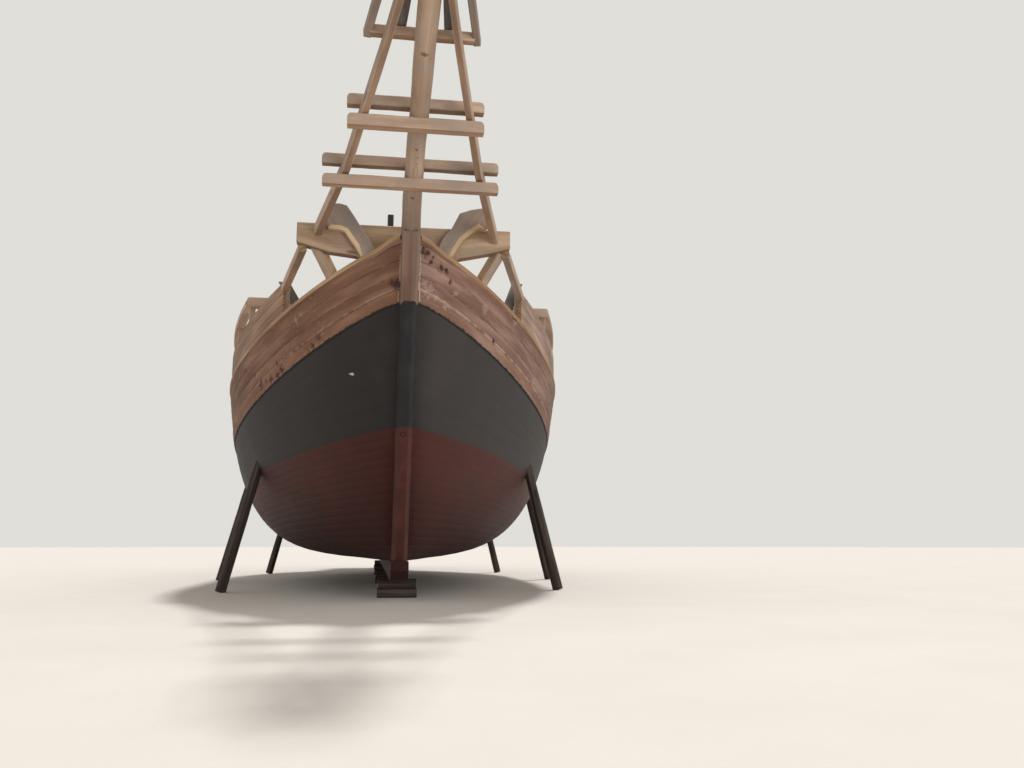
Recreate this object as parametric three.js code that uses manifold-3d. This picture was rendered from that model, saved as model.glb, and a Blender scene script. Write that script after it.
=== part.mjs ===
// A wooden phinisi schooner, unrigged and standing ashore on its keel blocks and shores.
// Millimetres, +Z up, bow towards -Y, port side towards +X, ground at z = 0.

import * as THREE from 'three';
import Module from 'manifold-3d';
import { mergeVertices } from 'three/addons/utils/BufferGeometryUtils.js';

const wasm = await Module();
wasm.setup();

// Driving dimensions. "s" runs aft from the stem head, and the frame's Y is s less this shift.
const S_TO_Y = 8800;
const GAP = 0.3;
const SHEER = { bow: 5125, low: 3920, stern: 4970, lowAt: 11000, sternAt: 21300, foreP: 2.6, aftP: 2.3 };
const KEEL = { under: 300, top: 620, width: 280, from: 1950, to: 21950 };
const HULL = {
  halfBeam: 3550, wideZ: 4030, bilgeM: 2.73, bilgeN: 3.8, tumble: 0.00007,
  postHalf: 130, entryTop: 8000, entryLow: 9400, foreP: 2.18, foreE: 0.825,
  runTop: 6800, runLow: 9000, aftP: 2.0, aftETop: 0.8, aftELow: 1.9, topZ: 5000,
};
const STEM = { rake: 2300, bow: 1.12, depth: 260, face: 260, faceLow: 140, narrowZ: 4200, wideZ: 4700, top: 5185 };
const STERN_POST = { foot: 20450, rake: 600, depth: 300, face: 220, head: 4880 };
const BULWARK = { bow: 715, mid: 1210, midAt: 10500, aftFrom: 17000, stern: 850, thick: 110, skin: 60 };
const BOOT_LINE = { bow: 2760, drop: 765, lowAt: 11000, aftRise: 420, aftFrom: 13000 };
const RAIL = { thick: 65, out: 45, width: 260 };
const DECK_THICK = 60;

const STATION_COUNT = 26;
const STATIONS = Array.from({ length: STATION_COUNT + 1 }, (_, i) => {
  const t = i / STATION_COUNT;
  return t - 0.07 * Math.sin(2 * Math.PI * t);
});

// Colours and finishes
const FINISH = {
  stainedWood: { color: 0x8a5f45, roughness: 0.75 },
  freshWood: { color: 0xc29a62, roughness: 0.8 },
  weatheredWood: { color: 0x8b7359, roughness: 0.85 },
  redPaint: { color: 0x5c2f2a, roughness: 0.7 },
  greyPaint: { color: 0x3f3d3a, roughness: 0.7 },
  deckWood: { color: 0xa58458, roughness: 0.85 },
  darkWood: { color: 0x4a3a30, roughness: 0.9 },
  bronze: { color: 0xa07a3c, roughness: 0.4, metalness: 1.0 },
  steel: { color: 0x77797b, roughness: 0.45, metalness: 1.0 },
};

// Hull form: heights along the ship, then the half-breadth at a height and a distance aft.
const clamp01 = (v) => Math.min(1, Math.max(0, v));
const lerp = (a, b, t) => a + (b - a) * t;

function sheerZ(s) {
  if (s < SHEER.lowAt) {
    const t = clamp01(1 - Math.max(s, 0) / SHEER.lowAt);
    return SHEER.low + (SHEER.bow - SHEER.low) * t ** SHEER.foreP;
  }
  const t = (s - SHEER.lowAt) / (SHEER.sternAt - SHEER.lowAt);
  return SHEER.low + (SHEER.stern - SHEER.low) * t ** SHEER.aftP;
}

function bulwarkHeight(s) {
  const fore = lerp(BULWARK.bow, BULWARK.mid, clamp01(s / BULWARK.midAt));
  const aft = clamp01((s - BULWARK.aftFrom) / (SHEER.sternAt - BULWARK.aftFrom));
  return lerp(fore, BULWARK.stern, aft);
}

const deckLineZ = (s) => sheerZ(s) - bulwarkHeight(s);

function bootLineZ(s) {
  const t = clamp01(1 - s / BOOT_LINE.lowAt);
  const aft = clamp01((s - BOOT_LINE.aftFrom) / (SHEER.sternAt - BOOT_LINE.aftFrom));
  return BOOT_LINE.bow - BOOT_LINE.drop * (1 - t * t) + BOOT_LINE.aftRise * aft * aft;
}

function stemS(z) {
  const t = 1 - (z - KEEL.top) / (SHEER.bow - KEEL.top);
  return STEM.rake * Math.sign(t) * Math.abs(t) ** STEM.bow;
}

const sternS = (z) => STERN_POST.foot + (STERN_POST.rake * (z - KEEL.top)) / (HULL.topZ - KEEL.top);

function midHalfBreadth(z) {
  const t = clamp01((z - KEEL.top) / (HULL.wideZ - KEEL.top));
  const full = HULL.halfBeam * (1 - (1 - t) ** HULL.bilgeM) ** (1 / HULL.bilgeN);
  return full - HULL.tumble * Math.max(0, z - HULL.wideZ) ** 2;
}

function halfBreadth(z, s) {
  const h = clamp01((z - KEEL.top) / (HULL.topZ - KEEL.top));
  const fore = clamp01((s - stemS(z)) / lerp(HULL.entryLow, HULL.entryTop, h));
  const aft = clamp01((sternS(z) - s) / lerp(HULL.runLow, HULL.runTop, h));
  const foreShare = (1 - (1 - fore) ** HULL.foreP) ** HULL.foreE;
  const aftShare = (1 - (1 - aft) ** HULL.aftP) ** lerp(HULL.aftELow, HULL.aftETop, h);
  const swell = Math.max(0, midHalfBreadth(z) - HULL.postHalf);
  return HULL.postHalf + swell * foreShare * aftShare;
}

// The place along the ship where a line of height rowZ(s) meets the share u of its length.
function stationS(rowZ, u) {
  let s = lerp(0, SHEER.sternAt, u);
  for (let i = 0; i < 12; i += 1) {
    const z = rowZ(s);
    s = lerp(stemS(z), sternS(z), u);
  }
  return s;
}

// A point of the hull's plan at the rail, moved sideways off the planking by "off".
function planPoint(rowZ, u, off) {
  const at = (v) => {
    const s = stationS(rowZ, clamp01(v));
    return new THREE.Vector2(halfBreadth(rowZ(s), s), s);
  };
  const step = 0.004;
  const along = at(u + step).sub(at(u - step)).normalize();
  const p = at(u);
  const x = Math.max(12, p.x + along.y * off);
  return { x, s: p.y - along.x * off };
}

// The share u at which the rail line reaches a given s.
function shareAt(rowZ, s) {
  let low = 0;
  let high = 1;
  for (let i = 0; i < 40; i += 1) {
    const mid = (low + high) / 2;
    if (stationS(rowZ, mid) < s) low = mid;
    else high = mid;
  }
  return (low + high) / 2;
}

// Solids
function geometryOf(points, faces) {
  const geometry = new THREE.BufferGeometry();
  const flat = points.flatMap((p) => [p[0], p[1] - S_TO_Y, p[2]]);
  geometry.setAttribute('position', new THREE.Float32BufferAttribute(flat, 3));
  geometry.setIndex(faces.flat());
  return geometry;
}

// Loops of equal length [x, s, z], stitched in order and closed by fans at both ends.
function loft(loops) {
  const count = loops[0].length;
  const faces = [];
  for (let i = 0; i + 1 < loops.length; i += 1) {
    for (let k = 0; k < count; k += 1) {
      const a = i * count + k;
      const b = i * count + ((k + 1) % count);
      faces.push([a, b, b + count], [a, b + count, a + count]);
    }
  }
  const last = (loops.length - 1) * count;
  for (let k = 1; k + 1 < count; k += 1) {
    faces.push([0, k + 1, k], [last, last + k, last + k + 1]);
  }
  return facingOut(geometryOf(loops.flat(), faces));
}

function signedVolume(geometry) {
  const p = geometry.getAttribute('position');
  const index = geometry.getIndex().array;
  const corner = [new THREE.Vector3(), new THREE.Vector3(), new THREE.Vector3()];
  let total = 0;
  for (let i = 0; i < index.length; i += 3) {
    corner.forEach((v, k) => v.fromBufferAttribute(p, index[i + k]));
    total += corner[0].dot(corner[1].clone().cross(corner[2]));
  }
  return total;
}

function facingOut(geometry) {
  if (signedVolume(geometry) > 0) return geometry;
  const index = geometry.getIndex();
  for (let i = 0; i < index.count; i += 3) {
    const b = index.getX(i + 1);
    index.setX(i + 1, index.getX(i + 2));
    index.setX(i + 2, b);
  }
  return geometry;
}

function solidOf(geometry) {
  const bare = geometry.clone();
  bare.deleteAttribute('normal');
  bare.deleteAttribute('uv');
  const merged = mergeVertices(bare, 1e-3);
  return new wasm.Manifold(new wasm.Mesh({
    numProp: 3,
    vertProperties: new Float32Array(merged.getAttribute('position').array),
    triVerts: new Uint32Array(merged.getIndex().array),
  }));
}

function geometryFrom(solid) {
  const mesh = solid.getMesh();
  const geometry = new THREE.BufferGeometry();
  geometry.setAttribute('position', new THREE.BufferAttribute(mesh.vertProperties.slice(), 3));
  geometry.setIndex(new THREE.BufferAttribute(mesh.triVerts.slice(), 1));
  return geometry;
}

const join = (...parts) => geometryFrom(parts.map(solidOf).reduce((a, b) => a.add(b)));
const cut = (part, ...tools) => geometryFrom(tools.map(solidOf).reduce((a, b) => a.subtract(b), solidOf(part)));
const common = (a, b) => geometryFrom(solidOf(a).intersect(solidOf(b)));

// The largest closed body left when a cut has split off crumbs.
function mainBody(geometry) {
  const parts = solidOf(geometry).decompose();
  parts.sort((a, b) => b.volume() - a.volume());
  return geometryFrom(parts[0]);
}

function box(x0, x1, s0, s1, z0, z1) {
  const geometry = new THREE.BoxGeometry(x1 - x0, s1 - s0, z1 - z0);
  return geometry.translate((x0 + x1) / 2, (s0 + s1) / 2 - S_TO_Y, (z0 + z1) / 2);
}

// An outline of [x, z] corners made solid from s0 to s1.
function acrossPlate(outline, s0, s1) {
  const near = outline.map(([x, z]) => [x, s0, z]);
  const far = outline.map(([x, z]) => [x, s1, z]);
  return extrudeLoops(near, far, outline);
}

// An outline of [s, z] corners made solid from x0 to x1.
function sidePlate(outline, x0, x1) {
  const near = outline.map(([s, z]) => [x0, s, z]);
  const far = outline.map(([s, z]) => [x1, s, z]);
  return extrudeLoops(near, far, outline);
}

// An outline of [x, s] corners made solid from z0 to z1.
function floorPlate(outline, z0, z1) {
  const near = outline.map(([x, s]) => [x, s, z0]);
  const far = outline.map(([x, s]) => [x, s, z1]);
  return extrudeLoops(near, far, outline);
}

function extrudeLoops(near, far, outline) {
  const contour = outline.map(([a, b]) => new THREE.Vector2(a, b));
  const caps = THREE.ShapeUtils.triangulateShape(contour, []);
  const count = outline.length;
  const faces = [];
  for (const [a, b, c] of caps) {
    faces.push([a, c, b], [a + count, b + count, c + count]);
  }
  for (let k = 0; k < count; k += 1) {
    const n = (k + 1) % count;
    faces.push([k, n, n + count], [k, n + count, k + count]);
  }
  const consistent = orient(faces);
  return facingOut(geometryOf([...near, ...far], consistent));
}

// Turns triangles until each shared edge is crossed once each way.
function orient(faces) {
  const byEdge = new Map();
  faces.forEach((f, i) => {
    for (let k = 0; k < 3; k += 1) {
      const key = [f[k], f[(k + 1) % 3]].sort((a, b) => a - b).join('_');
      byEdge.set(key, [...(byEdge.get(key) ?? []), i]);
    }
  });
  const seen = new Set([0]);
  const queue = [0];
  while (queue.length) {
    const f = faces[queue.pop()];
    const own = faces.indexOf(f);
    for (let k = 0; k < 3; k += 1) {
      const a = f[k];
      const b = f[(k + 1) % 3];
      const key = [a, b].sort((m, n) => m - n).join('_');
      for (const other of byEdge.get(key)) {
        if (other === own || seen.has(other)) continue;
        const g = faces[other];
        const same = [0, 1, 2].some((m) => g[m] === a && g[(m + 1) % 3] === b);
        if (same) g.reverse();
        seen.add(other);
        queue.push(other);
      }
    }
  }
  return faces;
}

// A straight timber between two points [x, s, z], "wide" across and "tall" in its own upright.
function timber(from, to, wide, tall, past = 0) {
  const a = new THREE.Vector3(from[0], from[1] - S_TO_Y, from[2]);
  const b = new THREE.Vector3(to[0], to[1] - S_TO_Y, to[2]);
  const along = b.clone().sub(a);
  const length = along.length();
  along.normalize();
  const up = Math.abs(along.z) > 0.95 ? new THREE.Vector3(0, 1, 0) : new THREE.Vector3(0, 0, 1);
  const side = along.clone().cross(up).normalize();
  const top = side.clone().cross(along);
  const matrix = new THREE.Matrix4().makeBasis(side, along, top);
  matrix.setPosition(a.add(b).multiplyScalar(0.5));
  return new THREE.BoxGeometry(wide, length + 2 * past, tall).applyMatrix4(matrix);
}

// A round log between two points, with its radius at each end.
function log(from, to, radiusFrom, radiusTo, sides = 16) {
  const a = new THREE.Vector3(from[0], from[1] - S_TO_Y, from[2]);
  const b = new THREE.Vector3(to[0], to[1] - S_TO_Y, to[2]);
  const along = b.clone().sub(a);
  const geometry = new THREE.CylinderGeometry(radiusTo, radiusFrom, along.length(), sides);
  const turn = new THREE.Quaternion().setFromUnitVectors(new THREE.Vector3(0, 1, 0), along.clone().normalize());
  geometry.applyQuaternion(turn);
  const middle = a.add(b).multiplyScalar(0.5);
  return geometry.translate(middle.x, middle.y, middle.z);
}

const mirrored = (geometry) => geometryFrom(solidOf(geometry).mirror([1, 0, 0]));

// Hull pieces
// A full-width layer of the hull between two heights given along the ship.
function hullLayer(lowZ, highZ, rows, grow = 0) {
  const loops = STATIONS.map((u) => {
    const side = Array.from({ length: rows + 1 }, (_, k) => {
      const rowZ = (s) => lerp(lowZ(s), highZ(s), k / rows);
      const s = stationS(rowZ, u);
      const z = rowZ(s);
      const past = u <= 0 ? -grow : grow * Math.floor(u);
      return [halfBreadth(z, s) + grow, s + past, z];
    });
    const other = side.map(([x, s, z]) => [-x, s, z]).reverse();
    return [...side, ...other];
  });
  return ladderLoft(loops);
}

// Loops whose first half mirrors the second: the ends are closed by rungs between the halves.
function ladderLoft(loops) {
  const count = loops[0].length;
  const half = count / 2;
  const faces = [];
  for (let i = 0; i + 1 < loops.length; i += 1) {
    for (let k = 0; k < count; k += 1) {
      const a = i * count + k;
      const b = i * count + ((k + 1) % count);
      faces.push([a, b, b + count], [a, b + count, a + count]);
    }
  }
  const last = (loops.length - 1) * count;
  for (let k = 0; k + 1 < half; k += 1) {
    const m = count - 1 - k;
    faces.push([k, m, m - 1], [k, m - 1, k + 1]);
    faces.push([last + k, last + m - 1, last + m], [last + k, last + k + 1, last + m - 1]);
  }
  return facingOut(geometryOf(loops.flat(), faces));
}

// A strake that follows the hull's plan on one side: offsets from the planking, heights from a line.
function planStrip({ line, from, to, out, inn, low, high, past = 0, count = STATION_COUNT }) {
  const u0 = from === undefined ? 0 : shareAt(line, from);
  const u1 = to === undefined ? 1 : shareAt(line, to);
  const shares = from === undefined && to === undefined
    ? STATIONS
    : Array.from({ length: count + 1 }, (_, i) => lerp(u0, u1, i / count));
  const loops = shares.map((u) => {
    const a = planPoint(line, u, out);
    const b = planPoint(line, u, inn);
    const shift = u <= 0 ? -past : past * Math.floor(u);
    return [
      [a.x, a.s + shift, low(a.s)], [a.x, a.s + shift, high(a.s)],
      [b.x, b.s + shift, high(b.s)], [b.x, b.s + shift, low(b.s)],
    ];
  });
  return loft(loops);
}

const keelTop = () => KEEL.top;
const bottomPlanking = hullLayer(keelTop, (s) => bootLineZ(s) - GAP, 7);
const sidePlanking = hullLayer(bootLineZ, (s) => deckLineZ(s) - GAP, 4);
const grownHull = [
  hullLayer(keelTop, bootLineZ, 7, 2 * GAP),
  hullLayer(bootLineZ, deckLineZ, 4, 2 * GAP),
  hullLayer(deckLineZ, sheerZ, 2, 2 * GAP),
];

// The top of the side planking is straight between its stations, and what lies on it follows that.
const DECK_KNOTS = STATIONS.map((u) => stationS(deckLineZ, u));
function deckSeatZ(s) {
  const last = DECK_KNOTS.length - 1;
  const i = DECK_KNOTS.findIndex((knot) => knot > s);
  const k = i < 0 ? last : Math.max(1, i);
  const t = (s - DECK_KNOTS[k - 1]) / (DECK_KNOTS[k] - DECK_KNOTS[k - 1]);
  return lerp(deckLineZ(DECK_KNOTS[k - 1]), deckLineZ(DECK_KNOTS[k]), t);
}

// The bulwark planking stands on the edge of the side planking and ends under the rail.
const bulwarkRowZ = (share) => (s) => lerp(deckLineZ(s), sheerZ(s) - RAIL.thick / 2, share);
function bulwarkStrip(grow, thick = BULWARK.thick) {
  const loops = STATIONS.map((u) => {
    const past = u <= 0 ? -2 * grow : 2 * grow * Math.floor(u);
    const outer = [0, 0.5, 1].map((share) => {
      const s = stationS(bulwarkRowZ(share), u);
      const z = bulwarkRowZ(share)(s);
      return [halfBreadth(z, s) + grow, s + past, z];
    });
    const inner = [1, 0].map((share) => {
      const p = planPoint(bulwarkRowZ(share), u, -thick - grow);
      const z = share === 0 ? deckSeatZ(p.s) + GAP : bulwarkRowZ(share)(p.s);
      return [p.x, p.s, z];
    });
    return [...outer, ...inner];
  });
  return loft(loops);
}

const rail = (grow = 0) => planStrip({
  line: sheerZ, out: RAIL.out + grow, inn: RAIL.out - RAIL.width - grow,
  low: (s) => sheerZ(s) - RAIL.thick - grow, high: (s) => sheerZ(s) + grow, past: grow,
});
const railWay = [rail(2 * GAP), mirrored(rail(2 * GAP))];

// Ribs stand inside the planking, from the side planking's top up to the rail.
const RIB = { from: 1500, pitch: 560, count: 34, along: 55, bite: 15, below: 40 };
function ribAt(s) {
  const loopAt = (share) => {
    const rowZ = bulwarkRowZ(share);
    const z = share === 0 ? rowZ(s) - RIB.below : rowZ(s);
    const [fore, aft] = [shareAt(rowZ, s - RIB.along), shareAt(rowZ, s + RIB.along)];
    const [out, inn] = [RIB.bite - BULWARK.skin, -BULWARK.thick];
    const corners = [[fore, out], [aft, out], [aft, inn], [fore, inn]];
    return corners.map(([u, off]) => {
      const p = planPoint(rowZ, u, off);
      return [p.x, p.s, z];
    });
  };
  return cut(loft([loopAt(0), loopAt(1)]), grownHull[1]);
}
const ribs = Array.from({ length: RIB.count }, (_, i) => ribAt(RIB.from + i * RIB.pitch));
const bulwark = mainBody(cut(join(bulwarkStrip(0, BULWARK.skin), ...ribs), railWay[0]));
const bulwarkWay = [bulwarkStrip(GAP), mirrored(bulwarkStrip(GAP))];

// The deck is laid between the bulwarks.
function deckOutline(inset) {
  const side = STATIONS.map((u) => {
    const p = planPoint(deckLineZ, u, -inset);
    return [p.x, p.s];
  });
  return [...side, ...side.map(([x, s]) => [-x, s]).reverse()];
}

const deckSlab = (lift) => ladderLoft(STATIONS.map((u) => {
  const s = stationS(deckLineZ, u);
  const x = halfBreadth(deckLineZ(s), s) + 200;
  const z = deckLineZ(s);
  const top = z + DECK_THICK + lift;
  const low = lift > 0 ? z - 900 : z;
  return [[x, s, low], [x, s, top], [-x, s, top], [-x, s, low]];
}));
const deck = common(deckSlab(0), floorPlate(deckOutline(BULWARK.thick + 25), 1500, 6000));
const deckCutter = deckSlab(GAP);
const onDeck = (piece) => mainBody(cut(piece, deckCutter));

// Backbone
const keelOutline = [
  [KEEL.from, KEEL.top - GAP], [KEEL.from + 20, 470], [KEEL.from + 200, 330], [KEEL.from + 420, KEEL.under],
  [KEEL.to, KEEL.under], [KEEL.to, KEEL.top - GAP],
];
const HEEL_PIN = { radius: 45, height: 70 };
const RUDDER_S = 21600;
const keel = join(
  sidePlate(keelOutline, -KEEL.width / 2, KEEL.width / 2),
  log([0, RUDDER_S, KEEL.top - 60], [0, RUDDER_S, KEEL.top + HEEL_PIN.height], HEEL_PIN.radius, HEEL_PIN.radius, 20),
);

const BOWSPRIT = { heelS: 2600, tipS: -5200, zAtStem: 5250, slope: 0.275, heelR: 133, tipR: 110 };
const bowspritZ = (s) => BOWSPRIT.zAtStem - BOWSPRIT.slope * s;
const bowsprit = (grow = 0) => log(
  [0, BOWSPRIT.heelS, bowspritZ(BOWSPRIT.heelS)], [0, BOWSPRIT.tipS, bowspritZ(BOWSPRIT.tipS)],
  BOWSPRIT.heelR + grow, BOWSPRIT.tipR + grow, 16,
);

function stemPost() {
  const heights = [KEEL.top, 1300, 2000, 2700, 3400, STEM.narrowZ, STEM.wideZ, STEM.top];
  const loops = heights.map((z) => {
    const share = clamp01((z - STEM.narrowZ) / (STEM.wideZ - STEM.narrowZ));
    const face = lerp(STEM.faceLow, STEM.face, share) / 2;
    const back = stemS(z) + 60;
    const front = stemS(z) - STEM.depth;
    return [[HULL.postHalf, back, z], [-HULL.postHalf, back, z], [-face, front, z], [face, front, z]];
  });
  return mainBody(cut(loft(loops), ...grownHull, ...bulwarkWay, ...railWay, bowsprit(GAP)));
}

function sternPost() {
  const heights = [KEEL.top, 1600, 2700, 3800, STERN_POST.head];
  const half = STERN_POST.face / 2;
  const loops = heights.map((z) => {
    const front = sternS(z) - 60;
    const back = sternS(z) + STERN_POST.depth;
    return [[HULL.postHalf, front, z], [-HULL.postHalf, front, z], [-half, back, z], [half, back, z]];
  });
  return mainBody(cut(loft(loops), ...grownHull, ...bulwarkWay, ...railWay, shaftBore()));
}

// Raised bulwark, upper rail and crossbeams
const RAISED = { from: 2350, to: 18700, top: 570, thick: 60, out: -20 };
const POST = { size: 100, out: -80, first: 2470, second: 3350, from: 4320, pitch: 1430, count: 11 };
const UPPER = { low: 990, high: 1090, out: -25, width: 170 };
const CROSSBEAM = { half: 2810, low: 930, high: 1100, deep: 240 };
const CROSSBEAM_S = { fore: 4200, aft: 18480 };
const railLineUnder = (s) => sheerZ(s) - 40;

function postAt(s, height) {
  const u = shareAt(sheerZ, s);
  const a = planPoint(sheerZ, u, POST.out - POST.size / 2);
  const step = planPoint(sheerZ, u + 0.002, POST.out - POST.size / 2);
  const turn = Math.atan2(step.s - a.s, step.x - a.x) - Math.PI / 2;
  const low = railLineUnder(a.s);
  const high = sheerZ(a.s) + height;
  const post = new THREE.BoxGeometry(POST.size, POST.size, high - low);
  post.rotateZ(turn);
  return post.translate(a.x, a.s - S_TO_Y, (low + high) / 2);
}

function raisedBulwark() {
  const plank = planStrip({
    line: sheerZ, from: RAISED.from, to: RAISED.to, out: RAISED.out, inn: RAISED.out - RAISED.thick - 5,
    low: railLineUnder, high: (s) => sheerZ(s) + RAISED.top, count: 18,
  });
  const tall = Array.from({ length: POST.count }, (_, i) => postAt(POST.from + i * POST.pitch, UPPER.low + 20));
  const short = [POST.first, POST.second].map((s) => postAt(s, RAISED.top - 10));
  const body = join(plank, ...short, ...tall);
  return mainBody(cut(body, railWay[0], foreBeam(GAP), aftBeam(GAP), upperStrip(GAP)));
}

function crossbeam(s, half, grow) {
  const low = sheerZ(s + CROSSBEAM.deep / 2) + CROSSBEAM.low;
  const high = low + CROSSBEAM.high - CROSSBEAM.low;
  return box(-half - grow, half + grow, s - grow, s + CROSSBEAM.deep + grow, low - grow, high + grow);
}
const foreBeam = (grow = 0) => crossbeam(CROSSBEAM_S.fore, CROSSBEAM.half, grow);
const aftBeam = (grow = 0) => crossbeam(CROSSBEAM_S.aft, CROSSBEAM.half - 330, grow);

const upperStrip = (grow = 0) => planStrip({
  line: sheerZ, from: CROSSBEAM_S.fore + CROSSBEAM.deep - 60, to: CROSSBEAM_S.aft + 60,
  out: UPPER.out + grow, inn: UPPER.out - UPPER.width - grow,
  low: (s) => sheerZ(s) + UPPER.low - grow, high: (s) => sheerZ(s) + UPPER.high + grow, count: 18,
});
const upperRail = () => mainBody(cut(upperStrip(), foreBeam(GAP), aftBeam(GAP)));

// Head timbers
const HEAD_BEAM = { front: 500, back: 700 };
const BEAM_UNDERSIDE = [
  // x, z
  [-1635, 5215], [-1160, 5085], [-780, 5045], [-700, 5022], [660, 5022], [740, 5075], [1225, 5180], [1505, 5262],
];
const BEAM_TOP = [
  // x, z
  [1505, 5540], [-1350, 5515], [-1635, 5515],
];
const headBeamOutline = [...BEAM_UNDERSIDE, ...BEAM_TOP];
function beamUndersideZ(x) {
  const past = BEAM_UNDERSIDE.findIndex(([knot]) => knot >= x);
  const i = past < 0 ? BEAM_UNDERSIDE.length - 1 : Math.max(1, past);
  const [[x0, z0], [x1, z1]] = [BEAM_UNDERSIDE[i - 1], BEAM_UNDERSIDE[i]];
  return lerp(z0, z1, (x - x0) / (x1 - x0));
}

const seatOnHead = (piece) => mainBody(cut(piece, ...railWay, ...bulwarkWay));

// The side spars run from the head beam's face in towards the bowsprit. The pair lies a little to starboard.
const SPAR_ROWS = [
  // x from the middle, s, z, width, height
  [1310, 545, 5395, 112, 160],
  [838, -1400, 5635, 95, 170],
  [388, -3416, 6189, 76, 170],
  [172, -4450, 6474, 70, 160],
];
const SPAR = { shift: -35, half: 85 };
function spar(side, grow = 0) {
  const last = SPAR_ROWS.length - 1;
  return loft(SPAR_ROWS.map(([x, s, z, wide, tall], i) => {
    const past = i === 0 ? grow : i === last ? -grow : 0;
    const middle = side * x + SPAR.shift;
    const [w, h] = [wide / 2 + grow, tall / 2 + grow];
    return [[middle - w, s + past, z - h], [middle + w, s + past, z - h],
      [middle + w, s + past, z + h], [middle - w, s + past, z + h]];
  }));
}
const sparsWay = [spar(1, GAP), spar(-1, GAP)];

const headBeam = seatOnHead(cut(
  acrossPlate(headBeamOutline, HEAD_BEAM.front, HEAD_BEAM.back), bowsprit(GAP), ...sparsWay,
));

// The crook of each horn knee: up from its foot on the rail, over its shoulder, and back along its hollow.
const KNEE = { front: 380, footZ: 5015 };
const KNEE_CROOKS = {
  // x from the middle, z
  port: [
    [355, KNEE.footZ], [399, 5146], [485, 5334], [616, 5497], [733, 5736], [1062, 5834], [1150, 5790], [1185, 5650],
    [1130, 5490], [1033, 5530], [781, 5319], [621, 5050], [597, KNEE.footZ],
  ],
  starboard: [
    [445, KNEE.footZ], [487, 5101], [728, 5469], [924, 5764], [1111, 5784], [1205, 5700], [1245, 5560], [1180, 5405],
    [1000, 5392], [940, 5366], [775, 5131], [691, KNEE.footZ],
  ],
};
function kneeFor(side) {
  const crook = side > 0 ? KNEE_CROOKS.port : KNEE_CROOKS.starboard;
  const plate = acrossPlate(crook.map(([x, z]) => [side * x, z]), KNEE.front, HEAD_BEAM.front - GAP);
  return seatOnHead(cut(plate, ...sparsWay));
}

// Struts carry the beam's ends. Each stands on the rail and ends under the beam.
const STRUT = { headX: 1370, headS: 600, headZ: 5250, footX: 1130, footS: 1090, footZ: 4840, wide: 150, tall: 170 };
const ABOVE_BEAM = { half: 1900, top: 6200, fore: 300 };
const beamPast = [-ABOVE_BEAM.half, ABOVE_BEAM.half];
const aboveBeam = acrossPlate(
  [
    [beamPast[0], beamUndersideZ(beamPast[0]) - GAP],
    ...BEAM_UNDERSIDE.map(([x, z]) => [x, z - GAP]),
    [beamPast[1], beamUndersideZ(beamPast[1]) - GAP],
    [beamPast[1], ABOVE_BEAM.top], [beamPast[0], ABOVE_BEAM.top],
  ],
  HEAD_BEAM.front - ABOVE_BEAM.fore, HEAD_BEAM.back + GAP,
);
const strutStick = (side, grow = 0) => timber(
  [side * STRUT.headX, STRUT.headS, STRUT.headZ], [side * STRUT.footX, STRUT.footS, STRUT.footZ],
  STRUT.wide + 2 * grow, STRUT.tall + 2 * grow, grow,
);
const strutFor = (side) => seatOnHead(cut(strutStick(side), aboveBeam));

// Head rails run from under the beam's ends back to the raised bulwarks.
const HEAD_RAIL = { fromX: { port: 1440, starboard: 1545 }, fromS: 560, size: 120, bite: 12, drop: 120, past: 60 };
const RAISED_FRONT = { half: 3000, ahead: 45, behind: 400, low: 4000, high: 6500 };
function headRailFor(side) {
  const end = planPoint(sheerZ, shareAt(sheerZ, RAISED.from), RAISED.out - 30);
  const fromX = side > 0 ? HEAD_RAIL.fromX.port : HEAD_RAIL.fromX.starboard;
  const fromZ = beamUndersideZ(side * fromX) - HEAD_RAIL.size / 2 + HEAD_RAIL.bite;
  const toZ = sheerZ(RAISED.from) + RAISED.top - HEAD_RAIL.drop;
  const stick = timber([side * fromX, HEAD_RAIL.fromS, fromZ], [side * end.x, end.s - HEAD_RAIL.past, toZ],
    HEAD_RAIL.size, HEAD_RAIL.size);
  const raisedFront = box(-RAISED_FRONT.half, RAISED_FRONT.half,
    RAISED.from - RAISED_FRONT.ahead, RAISED.from + RAISED_FRONT.behind, RAISED_FRONT.low, RAISED_FRONT.high);
  return mainBody(cut(stick, aboveBeam, strutStick(side, GAP), raisedFront));
}

// Crossbars of the bowsprit frame: each lower one lies under the spars and the bowsprit, each upper one on them.
const CROSSBARS = [
  // name, s, from x, to x, height, depth, place over (1) or under (-1) the spars
  ['crossbar_inner_lower', -1291, -1180, 1069, 139, 140, -1],
  ['crossbar_inner_upper', -1241, -1193, 1075, 138, 140, 1],
  ['crossbar_outer_lower', -2378, -849, 748, 142, 150, -1],
  ['crossbar_outer_upper', -2307, -861, 757, 134, 140, 1],
];
function crossbar([, s, from, to, tall, deep, over]) {
  const seat = bowspritZ(s) + over * SPAR.half;
  const [low, high] = over > 0 ? [seat, seat + tall] : [seat - tall, seat];
  return mainBody(cut(box(from, to, s - deep / 2, s + deep / 2, low, high), bowsprit(GAP), ...sparsWay));
}

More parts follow.
